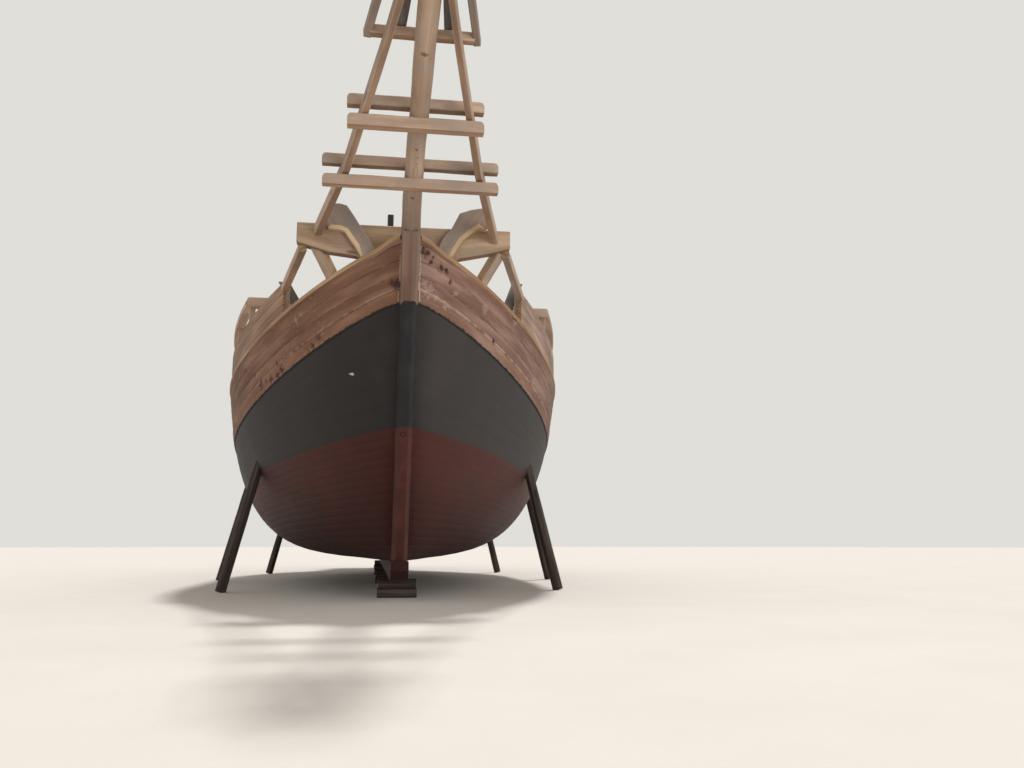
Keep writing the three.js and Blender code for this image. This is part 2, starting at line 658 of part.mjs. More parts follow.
// The lookout platform at the bowsprit's end: two beams, two boards and two side rails, fastened up as one
const PLATFORM_BEAMS = [
  // s, half length, height, depth
  [-3370, 565, 107, 120],
  [-4620, 335, 104, 120],
];
const PLATFORM_RUNS = [
  // x and s at the inner end, x at the outer end, width, thickness, middle's height over the seat, shift to port
  [258, -3400, 126, 112, 34, 120, 25],
  [598, -3320, 283, 78, 107, 54, 2],
];
const PLATFORM = { outerS: -4730, sideShift: -39 };
function platform() {
  const seatZ = (s) => bowspritZ(s) + SPAR.half;
  const beams = PLATFORM_BEAMS.map(([s, half, tall, deep]) => box(
    PLATFORM.sideShift - half, PLATFORM.sideShift + half, s - deep / 2, s + deep / 2, seatZ(s), seatZ(s) + tall,
  ));
  const sticks = PLATFORM_RUNS.flatMap(([x0, inner, x1, wide, tall, lift, shift]) => [1, -1].map((side) => timber(
    [side * x0 + shift + PLATFORM.sideShift, inner, seatZ(inner) + lift],
    [side * x1 + shift + PLATFORM.sideShift, PLATFORM.outerS, seatZ(PLATFORM.outerS) + lift], wide, tall,
  )));
  return mainBody(cut(join(...beams, ...sticks), bowsprit(GAP), ...sparsWay));
}

// Deck fittings
// Posts and walls are drawn down through the deck, then cut off on its top.
const BELOW_DECK = 3300;
const SAMSON = { x: -280, s: 850, size: 90, top: 5830 };
const samsonPost = onDeck(cut(
  box(SAMSON.x - SAMSON.size / 2, SAMSON.x + SAMSON.size / 2,
    SAMSON.s, SAMSON.s + SAMSON.size, BELOW_DECK, SAMSON.top),
  headBeam,
));
const HEEL_BITTS = { s: 2280, wide: 150, half: 330, top: 4900 };
const HEEL_CROSS = { half: 420, from: 2285, to: 2425, low: 4330, high: 4540 };
const heelBitt = (x0) => box(x0, x0 + HEEL_BITTS.wide,
  HEEL_BITTS.s, HEEL_BITTS.s + HEEL_BITTS.wide, BELOW_DECK, HEEL_BITTS.top);
const bowspritStep = onDeck(cut(join(
  heelBitt(-HEEL_BITTS.half), heelBitt(HEEL_BITTS.half - HEEL_BITTS.wide),
  box(-HEEL_CROSS.half, HEEL_CROSS.half, HEEL_CROSS.from, HEEL_CROSS.to, HEEL_CROSS.low, HEEL_CROSS.high),
), bowsprit(GAP)));

const PARTNERS = [['fore_mast_partner', 5600], ['main_mast_partner', 12200]];
const PARTNER = { size: 760, height: 150, depth: 600 };
const partnerAt = (s) => {
  const top = deckSeatZ(s) + DECK_THICK + PARTNER.height;
  const half = PARTNER.size / 2;
  return onDeck(box(-half, half, s - half, s + half, top - PARTNER.depth, top));
};

const HATCH = { from: 7200, to: 9800, half: 1000, wall: 90, top: 3260, board: 50, inset: 20 };
const hatchCoaming = onDeck(cut(
  box(-HATCH.half, HATCH.half, HATCH.from, HATCH.to, 2300, HATCH.top),
  box(-HATCH.half + HATCH.wall, HATCH.half - HATCH.wall, HATCH.from + HATCH.wall, HATCH.to - HATCH.wall, 2000, 4000),
));
const hatchBoards = box(-HATCH.half + HATCH.inset, HATCH.half - HATCH.inset,
  HATCH.from + HATCH.inset, HATCH.to - HATCH.inset, HATCH.top + GAP, HATCH.top + HATCH.board);

// Deckhouse: four walls, a cambered roof and one door in the front wall
const HOUSE = { from: 14200, to: 18300, half: 1500, wall: 60, top: 5060, roofOver: 180, roofThick: 55, camber: 130 };
const DOOR = { x0: 560, x1: 1240, low: 3010, high: 4780, thick: 40, side: 6 };
const WINDOW = {
  low: 4080, high: 4620, long: 640, sideS: [14750, 15950, 17150], frontX: [-1050, -410], aftHalf: 500,
};
const HOUSE_LOW = 2400;

function sideWall() {
  const wall = box(HOUSE.half - HOUSE.wall, HOUSE.half, HOUSE.from, HOUSE.to, HOUSE_LOW, HOUSE.top);
  const lights = WINDOW.sideS.map((s) => box(
    HOUSE.half - 2 * HOUSE.wall, HOUSE.half + HOUSE.wall, s, s + WINDOW.long, WINDOW.low, WINDOW.high,
  ));
  return onDeck(cut(wall, ...lights));
}
function endWall(s, openings) {
  const inner = HOUSE.half - HOUSE.wall - GAP;
  const wall = box(-inner, inner, s, s + HOUSE.wall, HOUSE_LOW, HOUSE.top);
  const holes = openings.map(([x0, x1, z0, z1]) => box(x0, x1, s - HOUSE.wall, s + 2 * HOUSE.wall, z0, z1));
  return onDeck(cut(wall, ...holes));
}
const frontWall = endWall(HOUSE.from, [
  [DOOR.x0, DOOR.x1, DOOR.low, DOOR.high],
  [...WINDOW.frontX, WINDOW.low, WINDOW.high],
]);
const aftWall = endWall(HOUSE.to - HOUSE.wall, [[-WINDOW.aftHalf, WINDOW.aftHalf, WINDOW.low, WINDOW.high]]);

function roof() {
  const half = HOUSE.half + HOUSE.roofOver;
  const steps = 10;
  const rise = (x) => HOUSE.camber * (1 - (x / half) ** 2);
  const xs = Array.from({ length: steps + 1 }, (_, i) => lerp(-half, half, i / steps));
  const top = xs.map((x) => [x, HOUSE.top + GAP + HOUSE.roofThick + rise(x)]);
  const under = [[half, HOUSE.top + GAP], [-half, HOUSE.top + GAP]];
  return acrossPlate([...top, ...under], HOUSE.from - HOUSE.roofOver, HOUSE.to + HOUSE.roofOver);
}

// The door hangs on two round hinge barrels just in front of the wall, at its outboard edge.
const HINGE = { x: DOOR.x1 - 2, s: HOUSE.from - 16, radius: 14, heights: [3350, 4400], tall: 60, strap: 300 };
const HANDLE = { x0: 620, x1: 655, proud: 42, low: 3800, high: 3960 };
function door() {
  const leaf = box(DOOR.x0 + DOOR.side, DOOR.x1 - DOOR.side, HOUSE.from + 2, HOUSE.from + 2 + DOOR.thick,
    DOOR.low + DOOR.side, DOOR.high - DOOR.side);
  const straps = HINGE.heights.map((z) => join(
    box(HINGE.x - HINGE.strap, HINGE.x - 4, HOUSE.from - 14, HOUSE.from + 4, z, z + HINGE.tall),
    log([HINGE.x, HINGE.s, z], [HINGE.x, HINGE.s, z + HINGE.tall], HINGE.radius, HINGE.radius, 12),
  ));
  const handle = box(HANDLE.x0, HANDLE.x1, HOUSE.from - HANDLE.proud, HOUSE.from + 6, HANDLE.low, HANDLE.high);
  return join(leaf, ...straps, handle);
}
// The wall's half of each hinge: a pin plate that the barrel of the strap turns on.
const HINGE_PLATE = { inboard: 10, outboard: 70, back: 8, thick: 30 };
function hingePlates() {
  const outer = HINGE.x + HINGE_PLATE.outboard;
  return HINGE.heights.flatMap((z) => [
    box(HINGE.x - HINGE_PLATE.inboard, outer, HINGE.s - HINGE_PLATE.inboard, HINGE.s + HINGE_PLATE.back,
      z - HINGE_PLATE.thick, z - GAP),
    box(HINGE.x + HINGE_PLATE.back, outer, HINGE.s + 4, HOUSE.from + 5, z - HINGE_PLATE.thick, z - GAP),
  ]);
}
const frontWallWithHinges = join(frontWall, ...hingePlates());

// Rudder, tiller and propeller
const RUDDER = {
  low: KEEL.top + HEEL_PIN.height + GAP, high: 3350, lead: 110, chord: 900, topChord: 560,
  heelRise: 60, belly: 40, bellyZ: 1500, thick: 110, stock: 80, top: 5980,
};
const rudderOutline = [
  [RUDDER_S - RUDDER.lead, RUDDER.low], [RUDDER_S + RUDDER.chord, RUDDER.low + RUDDER.heelRise],
  [RUDDER_S + RUDDER.chord + RUDDER.belly, RUDDER.bellyZ], [RUDDER_S + RUDDER.topChord, RUDDER.high],
  [RUDDER_S - RUDDER.lead, RUDDER.high],
];
const rudderStock = log([0, RUDDER_S, RUDDER.low], [0, RUDDER_S, RUDDER.top], RUDDER.stock, RUDDER.stock, 20);
const rudder = join(sidePlate(rudderOutline, -RUDDER.thick / 2, RUDDER.thick / 2), rudderStock);
const TILLER = { z: 5860, behind: 150, length: 1780, rise: 120, wide: 95, tall: 120 };
const TILLER_HEAD = { halfWide: 120, halfLong: 130, below: 70, above: 75 };
const tillerBore = { low: 5000, high: 6500 };
const tiller = cut(join(
  timber([0, RUDDER_S + TILLER.behind, TILLER.z], [0, RUDDER_S - TILLER.length, TILLER.z + TILLER.rise],
    TILLER.wide, TILLER.tall),
  box(-TILLER_HEAD.halfWide, TILLER_HEAD.halfWide, RUDDER_S - TILLER_HEAD.halfLong, RUDDER_S + TILLER_HEAD.halfLong,
    TILLER.z - TILLER_HEAD.below, TILLER.z + TILLER_HEAD.above),
), log([0, RUDDER_S, tillerBore.low], [0, RUDDER_S, tillerBore.high], RUDDER.stock + GAP, RUDDER.stock + GAP, 20));

const BEARING = { z: 3600, tall: 160, wide: 270, clear: 0.4 };
const bearingBore = (z0, z1) => {
  const inner = (RUDDER.stock + BEARING.clear) / Math.cos(Math.PI / 20);
  return log([0, RUDDER_S, z0], [0, RUDDER_S, z1], inner, inner, 20);
};
const rudderBearing = cut(
  box(-BEARING.wide / 2, BEARING.wide / 2, sternS(BEARING.z) + 200, RUDDER_S + 130, BEARING.z, BEARING.z + BEARING.tall),
  bearingBore(BEARING.z - 100, BEARING.z + 400),
  grownSternPost(),
);
function grownSternPost() {
  const half = STERN_POST.face / 2 + 1;
  const loops = [KEEL.top, STERN_POST.head].map((z) => {
    const s = sternS(z);
    const back = s + STERN_POST.depth + 2 * GAP;
    return [[HULL.postHalf + 1, s - 60, z], [-HULL.postHalf - 1, s - 60, z], [-half, back, z], [half, back, z]];
  });
  return loft(loops);
}

const SCREW = { z: 1250, s: 21080, radius: 500, hub: 85, hubAft: 60, hubLong: 200, shaft: 45, blades: 3 };
const shaftFrom = sternS(SCREW.z) + STERN_POST.depth - 160;
const shaftBore = () => {
  const r = (SCREW.shaft + GAP) / Math.cos(Math.PI / 20);
  return log([0, shaftFrom - 20, SCREW.z], [0, SCREW.s, SCREW.z], r, r, 20);
};
function propeller() {
  const hubHalf = SCREW.hubLong / 2;
  const hub = log([0, SCREW.s - hubHalf, SCREW.z], [0, SCREW.s + hubHalf, SCREW.z], SCREW.hub, SCREW.hubAft, 20);
  const blades = Array.from({ length: SCREW.blades }, (_, i) => {
    const blade = bladeLoft();
    blade.translate(0, -(SCREW.s - S_TO_Y), -SCREW.z);
    blade.rotateY((i * 2 * Math.PI) / SCREW.blades);
    return blade.translate(0, SCREW.s - S_TO_Y, SCREW.z);
  });
  const shaft = log([0, shaftFrom, SCREW.z], [0, SCREW.s, SCREW.z], SCREW.shaft, SCREW.shaft, 20);
  return join(hub, shaft, ...blades);
}
function bladeLoft() {
  const rows = [
    // radius, chord, pitch angle from the shaft's cross plane, thickness
    [60, 170, 55, 34],
    [200, 280, 38, 24],
    [350, 330, 27, 16],
    [450, 240, 22, 12],
    [SCREW.radius, 80, 20, 8],
  ];
  const loops = rows.map(([radius, chord, angle, thick]) => {
    const a = THREE.MathUtils.degToRad(angle);
    const corners = [[-0.5, 0], [-0.2, 0.5], [0.25, 0.45], [0.5, 0], [0.25, -0.45], [-0.2, -0.5]];
    return corners.map(([c, t]) => {
      const across = c * chord * Math.cos(a) - t * thick * Math.sin(a);
      const along = c * chord * Math.sin(a) + t * thick * Math.cos(a);
      return [across, SCREW.s + along, SCREW.z + radius];
    });
  });
  return loft(loops);
}

// Stern gallery: a floor on beams across the rails, open at its front
const GALLERY = { from: 19450, to: 22825, floor: 5080, thick: 50, half: 1450, aftHalf: 1150 };
const galleryOutline = [
  [-GALLERY.half, GALLERY.from], [GALLERY.half, GALLERY.from],
  [GALLERY.aftHalf, GALLERY.to], [-GALLERY.aftHalf, GALLERY.to],
];
const STOCK_WAY = { radius: 95, low: 4500, high: 5600 };
const stockWay = log(
  [0, RUDDER_S, STOCK_WAY.low], [0, RUDDER_S, STOCK_WAY.high], STOCK_WAY.radius, STOCK_WAY.radius, 20,
);
const galleryFloor = cut(floorPlate(galleryOutline, GALLERY.floor, GALLERY.floor + GALLERY.thick), stockWay);
const galleryHalfAt = (s) => lerp(GALLERY.half, GALLERY.aftHalf, (s - GALLERY.from) / (GALLERY.to - GALLERY.from));
const sternHead = box(-140, 140, 20900, 21500, 4300, STERN_POST.head + GAP);
const GALLERY_BEAMS = [
  // s, depth below the floor
  [19560, 560],
  [20500, 380],
  [21000, 220],
  [22480, 150],
];
const GALLERY_BEAM = { wide: 160, inset: 30, bearerX: [-700, 580], bearerWide: 120, bearerDeep: 150 };
function galleryFrame() {
  const under = GALLERY.floor - GAP;
  const halfAt = (s) => galleryHalfAt(s) - GALLERY_BEAM.inset;
  const beams = GALLERY_BEAMS.map(([s, deep]) => box(
    -halfAt(s), halfAt(s), s, s + GALLERY_BEAM.wide, under - deep, under,
  ));
  const [firstS, lastS] = [GALLERY_BEAMS[0][0], GALLERY_BEAMS.at(-1)[0] + GALLERY_BEAM.wide];
  const bearers = GALLERY_BEAM.bearerX.map((x) => box(
    x, x + GALLERY_BEAM.bearerWide, firstS, lastS, under - GALLERY_BEAM.bearerDeep, under,
  ));
  const body = join(...beams, ...bearers);
  return mainBody(cut(body, ...railWay, ...bulwarkWay, sternHead, stockWay));
}
const GALLERY_RAIL = {
  from: 19510, to: 22755, inset: 50, postTop: 5970, heights: [5930, 5560], past: 30, wide: 80, tall: 60,
};
const GALLERY_POST = { half: 35, sideS: [19570, 20500, 21500, 22755], aftX: 380 };
function galleryRail() {
  const floor = GALLERY.floor + GALLERY.thick + GAP;
  const { from, to, past, wide, tall } = GALLERY_RAIL;
  const corner = (s) => galleryHalfAt(s) - GALLERY_RAIL.inset;
  const spots = GALLERY_POST.sideS.flatMap((s) => [[corner(s), s], [-corner(s), s]]);
  spots.push([GALLERY_POST.aftX, to], [-GALLERY_POST.aftX, to]);
  const posts = spots.map(([x, s]) => box(
    x - GALLERY_POST.half, x + GALLERY_POST.half, s - GALLERY_POST.half, s + GALLERY_POST.half,
    floor, GALLERY_RAIL.postTop,
  ));
  const rails = GALLERY_RAIL.heights.flatMap((z) => [
    timber([corner(from), from, z], [corner(to), to + past, z], wide, tall),
    timber([-corner(from), from, z], [-corner(to), to + past, z], wide, tall),
    timber([-corner(to) - past, to, z], [corner(to) + past, to, z], wide, tall),
  ]);
  return join(...posts, ...rails);
}

// Keel blocks and shores
const BLOCKS = [3300, 8700, 14100, 19500];
const BLOCK = { half: 330, deep: 340 };
const keelBlock = (s) => box(-BLOCK.half, BLOCK.half, s - BLOCK.deep / 2, s + BLOCK.deep / 2, 0, KEEL.under - GAP);

const SHORES = [5200, 10200, 15400];
const SHORE = { topZ: 2350, spread: 600, inside: 60, above: 90, footZ: -200, footR: 100, headR: 85, sides: 10 };
const BELOW_GROUND = { half: 9000, long: 900, deep: 900 };
function shoreAt(s, side) {
  const z = SHORE.topZ;
  const x = halfBreadth(z, s);
  const foot = [side * (x + SHORE.spread), s, SHORE.footZ];
  const head = [side * (x - SHORE.inside), s, z + SHORE.above];
  const stick = log(foot, head, SHORE.footR, SHORE.headR, SHORE.sides);
  const { half, long, deep } = BELOW_GROUND;
  return mainBody(cut(stick, ...grownHull, box(-half, half, s - long, s + long, -deep, 0)));
}

// The whole ship, as named pieces
const ship = new THREE.Group();

function add(name, finish, geometry) {
  const mesh = new THREE.Mesh(geometry, new THREE.MeshStandardMaterial(FINISH[finish]));
  mesh.name = name;
  ship.add(mesh);
}

function addPair(name, finish, make) {
  add(`${name}_port`, finish, make(1));
  add(`${name}_starboard`, finish, make(-1));
}
const bothSides = (geometry) => (side) => (side > 0 ? geometry : mirrored(geometry));

add('keel', 'redPaint', keel);
add('stem_post', 'stainedWood', stemPost());
add('stern_post', 'redPaint', sternPost());
add('bottom_planking', 'redPaint', bottomPlanking);
add('side_planking', 'greyPaint', sidePlanking);
add('main_deck', 'deckWood', deck);
addPair('bulwark', 'stainedWood', bothSides(bulwark));
addPair('rail', 'freshWood', bothSides(mainBody(cut(rail(), bowsprit(GAP)))));
addPair('raised_bulwark', 'stainedWood', bothSides(raisedBulwark()));
addPair('upper_rail', 'weatheredWood', bothSides(upperRail()));
add('fore_crossbeam', 'weatheredWood', foreBeam());
add('aft_crossbeam', 'weatheredWood', aftBeam());
add('head_beam', 'weatheredWood', headBeam);
addPair('horn_knee', 'weatheredWood', kneeFor);
addPair('beam_strut', 'weatheredWood', strutFor);
addPair('head_rail', 'weatheredWood', headRailFor);
add('bowsprit', 'weatheredWood', bowsprit());
addPair('side_spar', 'weatheredWood', (side) => mainBody(cut(spar(side), bowsprit(GAP))));
CROSSBARS.forEach((row) => add(row[0], 'weatheredWood', crossbar(row)));
add('bowsprit_platform', 'weatheredWood', platform());
add('samson_post', 'darkWood', samsonPost);
add('bowsprit_step', 'weatheredWood', bowspritStep);
PARTNERS.forEach(([name, s]) => add(name, 'freshWood', partnerAt(s)));
add('hatch_coaming', 'stainedWood', hatchCoaming);
add('hatch_boards', 'freshWood', hatchBoards);
addPair('deckhouse_side', 'stainedWood', bothSides(sideWall()));
add('deckhouse_front', 'stainedWood', frontWallWithHinges);
add('deckhouse_aft', 'stainedWood', aftWall);
add('deckhouse_roof', 'weatheredWood', roof());
add('deckhouse_door', 'freshWood', door());
add('rudder', 'redPaint', rudder);
add('tiller', 'freshWood', tiller);
add('rudder_bearing', 'steel', rudderBearing);
add('propeller', 'bronze', propeller());
add('gallery_frame', 'weatheredWood', galleryFrame());
add('gallery_floor', 'deckWood', galleryFloor);
add('gallery_rail', 'freshWood', galleryRail());
BLOCKS.forEach((s, i) => add(`keel_block_${i + 1}`, 'darkWood', keelBlock(s)));
SHORES.forEach((s, i) => addPair(`shore_${i + 1}`, 'darkWood', (side) => shoreAt(s, side)));

export default ship;
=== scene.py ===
# %% [markdown]
# # A wooden schooner hull, dressed for the picture
# The construction comes from the imported model, and this lesson gives it its surfaces: planks with seams,
# hewn timbers, paint and pegs. Every length is in metres, +Z is up, the bow points towards -Y, and port is
# +X. The imported model is loaded first.

# %% The frame
import math
from types import SimpleNamespace as Sizes

import bmesh
import bpy
import numpy as np
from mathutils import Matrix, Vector, noise


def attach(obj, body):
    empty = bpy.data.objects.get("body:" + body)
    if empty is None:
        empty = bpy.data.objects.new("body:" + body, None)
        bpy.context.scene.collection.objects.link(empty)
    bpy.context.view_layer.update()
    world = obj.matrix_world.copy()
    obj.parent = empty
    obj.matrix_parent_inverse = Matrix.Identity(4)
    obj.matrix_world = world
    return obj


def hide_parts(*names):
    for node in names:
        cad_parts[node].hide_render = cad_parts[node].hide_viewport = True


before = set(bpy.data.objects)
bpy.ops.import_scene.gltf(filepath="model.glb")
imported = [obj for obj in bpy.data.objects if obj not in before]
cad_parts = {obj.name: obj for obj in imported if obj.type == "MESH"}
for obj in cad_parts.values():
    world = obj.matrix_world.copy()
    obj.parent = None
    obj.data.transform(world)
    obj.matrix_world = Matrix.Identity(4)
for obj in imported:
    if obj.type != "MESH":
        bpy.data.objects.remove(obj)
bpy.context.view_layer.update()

# %% [markdown]
# ## The camera
# The picture is taken from low down, a little to starboard of the stem, and looks up. The focal length in
# pixels follows from how the hull narrows with distance; a camera in Blender wants it on its sensor, so it is
# scaled by the sensor's width over the image's width.

# %% Camera
IMAGE_WIDTH = 1024
FOCAL_PIXELS = 900.0
SENSOR = 36.0
EYE = Vector((-0.446, -21.14, 0.913))
HEADING = 0.153
PITCH = 0.1739

lens_data = bpy.data.cameras.new("bow_camera")
lens_data.sensor_width = SENSOR
lens_data.lens = SENSOR * FOCAL_PIXELS / IMAGE_WIDTH
camera = bpy.data.objects.new("bow_camera", lens_data)
bpy.context.scene.collection.objects.link(camera)
camera.location = EYE
gaze = Vector((math.sin(HEADING) * math.cos(PITCH), math.cos(HEADING) * math.cos(PITCH), math.sin(PITCH)))
camera.rotation_euler = gaze.to_track_quat("-Z", "Y").to_euler()
bpy.context.scene.camera = camera
print("lens:", round(lens_data.lens, 2), "mm")

# %% [markdown]
# ## The hull's form
# A ship's surface is a rule: how wide it is at a height and a distance aft. The construction's driving
# sizes are repeated here, so that planks land where the solids are; "s" runs aft from the stem head. The
# functions take whole arrays, so thousands of points are found at once.

# %% Driving sizes
STEM_HEAD_Y = -8.8
SHEER = Sizes(bow=5.125, low=3.92, stern=4.97, low_at=11.0, stern_at=21.3, fore_power=2.6, aft_power=2.3)
KEEL_TOP = 0.62
HULL = Sizes(half_beam=3.55, wide_z=4.03, bilge_m=2.73, bilge_n=3.8, tumble=0.07, post_half=0.13,
             entry_top=8.0, entry_low=9.4, fore_power=2.18, fore_root=0.825, run_top=6.8, run_low=9.0,
             aft_power=2.0, aft_top=0.8, aft_low=1.9, top_z=5.0)
STEM = Sizes(rake=2.3, bow=1.12, depth=0.26, face_low=0.14, face_top=0.26, narrow_z=4.2, wide_z=4.7,
             top=5.185)
STERN_POST = Sizes(foot=20.45, rake=0.6, depth=0.3, face=0.22, head=4.88)
BULWARK = Sizes(bow=0.715, mid=1.21, mid_at=10.5, aft_from=17.0, stern=0.85)
BOOT_LINE = Sizes(bow=2.76, drop=0.765, low_at=11.0, aft_rise=0.42, aft_from=13.0)
RAIL = Sizes(thick=0.065, out=0.045, width=0.26)
DECK_THICK = 0.06
print("sheer at the bow, its low point and the stern:", SHEER.bow, SHEER.low, SHEER.stern)


# %% Hull functions
def clamp01(value):
    return np.clip(value, 0.0, 1.0)


def lerp(a, b, t):
    return a + (b - a) * t


def sheer_z(s):
    fore = clamp01(1 - np.maximum(s, 0) / SHEER.low_at)
    aft = np.maximum(0, s - SHEER.low_at) / (SHEER.stern_at - SHEER.low_at)
    rise_fore = (SHEER.bow - SHEER.low) * fore ** SHEER.fore_power
    rise_aft = (SHEER.stern - SHEER.low) * aft ** SHEER.aft_power
    return SHEER.low + rise_fore + rise_aft


def deck_line_z(s):
    fore = lerp(BULWARK.bow, BULWARK.mid, clamp01(s / BULWARK.mid_at))
    aft = clamp01((s - BULWARK.aft_from) / (SHEER.stern_at - BULWARK.aft_from))
    return sheer_z(s) - lerp(fore, BULWARK.stern, aft)


def boot_line_z(s):
    fore = clamp01(1 - s / BOOT_LINE.low_at)
    aft = clamp01((s - BOOT_LINE.aft_from) / (SHEER.stern_at - BOOT_LINE.aft_from))
    return BOOT_LINE.bow - BOOT_LINE.drop * (1 - fore ** 2) + BOOT_LINE.aft_rise * aft ** 2


def keel_line_z(s):
    return KEEL_TOP + 0 * s


def stem_s(z):
    t = 1 - (z - KEEL_TOP) / (SHEER.bow - KEEL_TOP)
    return STEM.rake * np.sign(t) * np.abs(t) ** STEM.bow


def stern_s(z):
    return STERN_POST.foot + STERN_POST.rake * (z - KEEL_TOP) / (HULL.top_z - KEEL_TOP)


def half_breadth(z, s):
    rise = clamp01((z - KEEL_TOP) / (HULL.wide_z - KEEL_TOP))
    middle = HULL.half_beam * (1 - (1 - rise) ** HULL.bilge_m) ** (1 / HULL.bilge_n)
    middle = middle - HULL.tumble * np.maximum(0, z - HULL.wide_z) ** 2
    h = clamp01((z - KEEL_TOP) / (HULL.top_z - KEEL_TOP))
    fore = clamp01((s - stem_s(z)) / lerp(HULL.entry_low, HULL.entry_top, h))
    aft = clamp01((stern_s(z) - s) / lerp(HULL.run_low, HULL.run_top, h))
    fore_share = (1 - (1 - fore) ** HULL.fore_power) ** HULL.fore_root
    aft_share = (1 - (1 - aft) ** HULL.aft_power) ** lerp(HULL.aft_low, HULL.aft_top, h)
    return HULL.post_half + np.maximum(0, middle - HULL.post_half) * fore_share * aft_share


print("the stem's foot lies aft of its head by", round(float(stem_s(KEEL_TOP)), 2))


# %% Places on the hull
def station_s(row_z, u):
    """Where a line of height row_z(s) meets the share u of its length."""
    s = lerp(0.0, SHEER.stern_at, u)
    for _ in range(12):
        z = row_z(s)
        s = lerp(stem_s(z), stern_s(z), u)
    return s


def share_at(row_z, s):
    """The share u at which the line is at s."""
    low, high = 0.0, 1.0
    for _ in range(40):
        mid = (low + high) / 2
        if station_s(row_z, mid) < s:
            low = mid
        else:
            high = mid
    return (low + high) / 2


def plan_point(row_z, u, off):
    """A point of the hull's plan, moved out of the planking by off: its x for port, and its s."""
    reach = 0.004

    def at(v):
        s = station_s(row_z, clamp01(v))
        return half_breadth(row_z(s), s), s

    (x0, s0), (x1, s1), (x, s) = at(u - reach), at(u + reach), at(u)
    length = np.hypot(x1 - x0, s1 - s0)
    return np.maximum(0.012, x + (s1 - s0) / length * off), s - (x1 - x0) / length * off


def hull_normal(z, s):
    """The outward direction of the port side's surface, as [x, s, z]."""
    e = 0.01
    along = (half_breadth(z, s + e) - half_breadth(z, s - e)) / (2 * e)
    up = (half_breadth(z + e, s) - half_breadth(z - e, s)) / (2 * e)
    n = np.stack([np.ones_like(along), -along, -up], -1)
    return n / np.linalg.norm(n, axis=-1, keepdims=True)


print("beam at the rail amidships:", round(float(2 * half_breadth(3.92, 11.0)), 3))

# %% [markdown]
# ## Shader helpers
# A finish is a small network of nodes. Links written by hand hide what a material does, so a Shader adds
# nodes by short names: an input may be a number, a colour or another node's output. Colours are written as
# seen, from 0 to 255, and turned into linear light here.


# %% Shader helpers
def tint(*colour):
    """A colour as seen on a screen, in linear light."""
    linear = [v / 255 / 12.92 if v <= 10 else ((v / 255 + 0.055) / 1.055) ** 2.4 for v in colour]
    return (*linear, 1)


class NodeNet:
    """Adds nodes to a node tree by short names; an input is a number, a colour or another node's output."""

    def __init__(self, tree):
        self.tree = tree

    def put(self, socket, value):
        if isinstance(value, bpy.types.NodeSocket):
            self.tree.links.new(value, socket)
        elif value is not None:
            socket.default_value = value

    def made(self, kind, inputs, **settings):
        node = self.tree.nodes.new(kind)
        for key, value in settings.items():
            setattr(node, key, value)
        for key, value in inputs.items():
            self.put(node.inputs[key], value)
        return node.outputs

    def node(self, kind, inputs, out=0, **settings):
        return self.made(kind, inputs, **settings)[out]

    def math(self, operation, a, b=None, c=None):
        return self.node("ShaderNodeMath", {0: a, 1: b, 2: c}, operation=operation)

    def times(self, a, b):
        return self.math("MULTIPLY", a, b)

    def minus(self, a, b):
        return self.math("SUBTRACT", a, b)


class Shader(NodeNet):
    """A material's net; a colour is an output, or red, green and blue as seen on a screen, from 0 to 255."""

    def __init__(self, name):
        self.material = bpy.data.materials.new(name)
        self.material.use_nodes = True
        super().__init__(self.material.node_tree)
        self.surface = self.tree.nodes["Principled BSDF"]

    def mix(self, share, a, b, blend="MIX"):
        a, b = (tint(*c) if isinstance(c, tuple) and len(c) == 3 else c for c in (a, b))
        return self.node("ShaderNodeMix", {0: share, 6: a, 7: b}, out=2, data_type="RGBA", blend_type=blend)

    def tinge(self, colour, mask, amount, tone):
        """The colour, drawn towards a tone by an amount where the mask is 1."""
        return self.mix(self.times(mask, amount), colour, tone)

    def between(self, value, low, high):
        """0 below low, 1 above high, smooth between; low may be the larger."""
        inputs = {0: value, 1: low, 2: high, 3: 0.0, 4: 1.0}
        return self.node("ShaderNodeMapRange", inputs, interpolation_type="SMOOTHSTEP")

    def stretched(self, where, scale):
        return self.node("ShaderNodeVectorMath", {0: where, 1: scale}, operation="MULTIPLY")

    def away_from(self, point, place):
        return self.node("ShaderNodeVectorMath", {0: place, 1: point}, out=1, operation="DISTANCE")

    def noise(self, where, scale, detail=3.0, roughness=0.55, stretch=None):
        place = self.stretched(where, stretch) if stretch else where
        inputs = {"Vector": place, "Scale": scale, "Detail": detail, "Roughness": roughness}
        return self.node("ShaderNodeTexNoise", inputs)

    def chance(self, where):
        return self.node("ShaderNodeTexWhiteNoise", {"Vector": where}, noise_dimensions="3D")

    def joined(self, x, y, z=None):
        return self.node("ShaderNodeCombineXYZ", {0: x, 1: y, 2: z})

    def axes(self, where):
        return self.made("ShaderNodeSeparateXYZ", {0: where})

    def bump(self, height, depth):
        """Relief of a height from 0 to 1, depth metres deep."""
        return self.node("ShaderNodeBump", {"Height": height, "Distance": depth, "Strength": 1.0})

    def set(self, **inputs):
        for key, value in inputs.items():
            self.put(self.surface.inputs[key.replace("_", " ")], value)
        return self

    def colour(self):
        return self.surface.inputs["Base Color"].links[0].from_socket

    def place(self):
        return self.node("ShaderNodeTexCoord", {}, out=3)

    def board(self):
        return self.node("ShaderNodeUVMap", {}, uv_map=BOARD_UV)


BOARD_UV = "board"
print("mid grey in linear light:", round(tint(128, 128, 128)[0], 3))

# %% [markdown]
# ## Wood
# Each board carries its own map: u runs along the grain in metres, and v is the board's number plus half
# plus the place across it in metres. From that a material knows which board it is on, how far the seam is,
# where boards butt and which way the grain runs. Fine grain, streaks, knots, seams, putty and smears are
# layered, each at the scale of real planks.


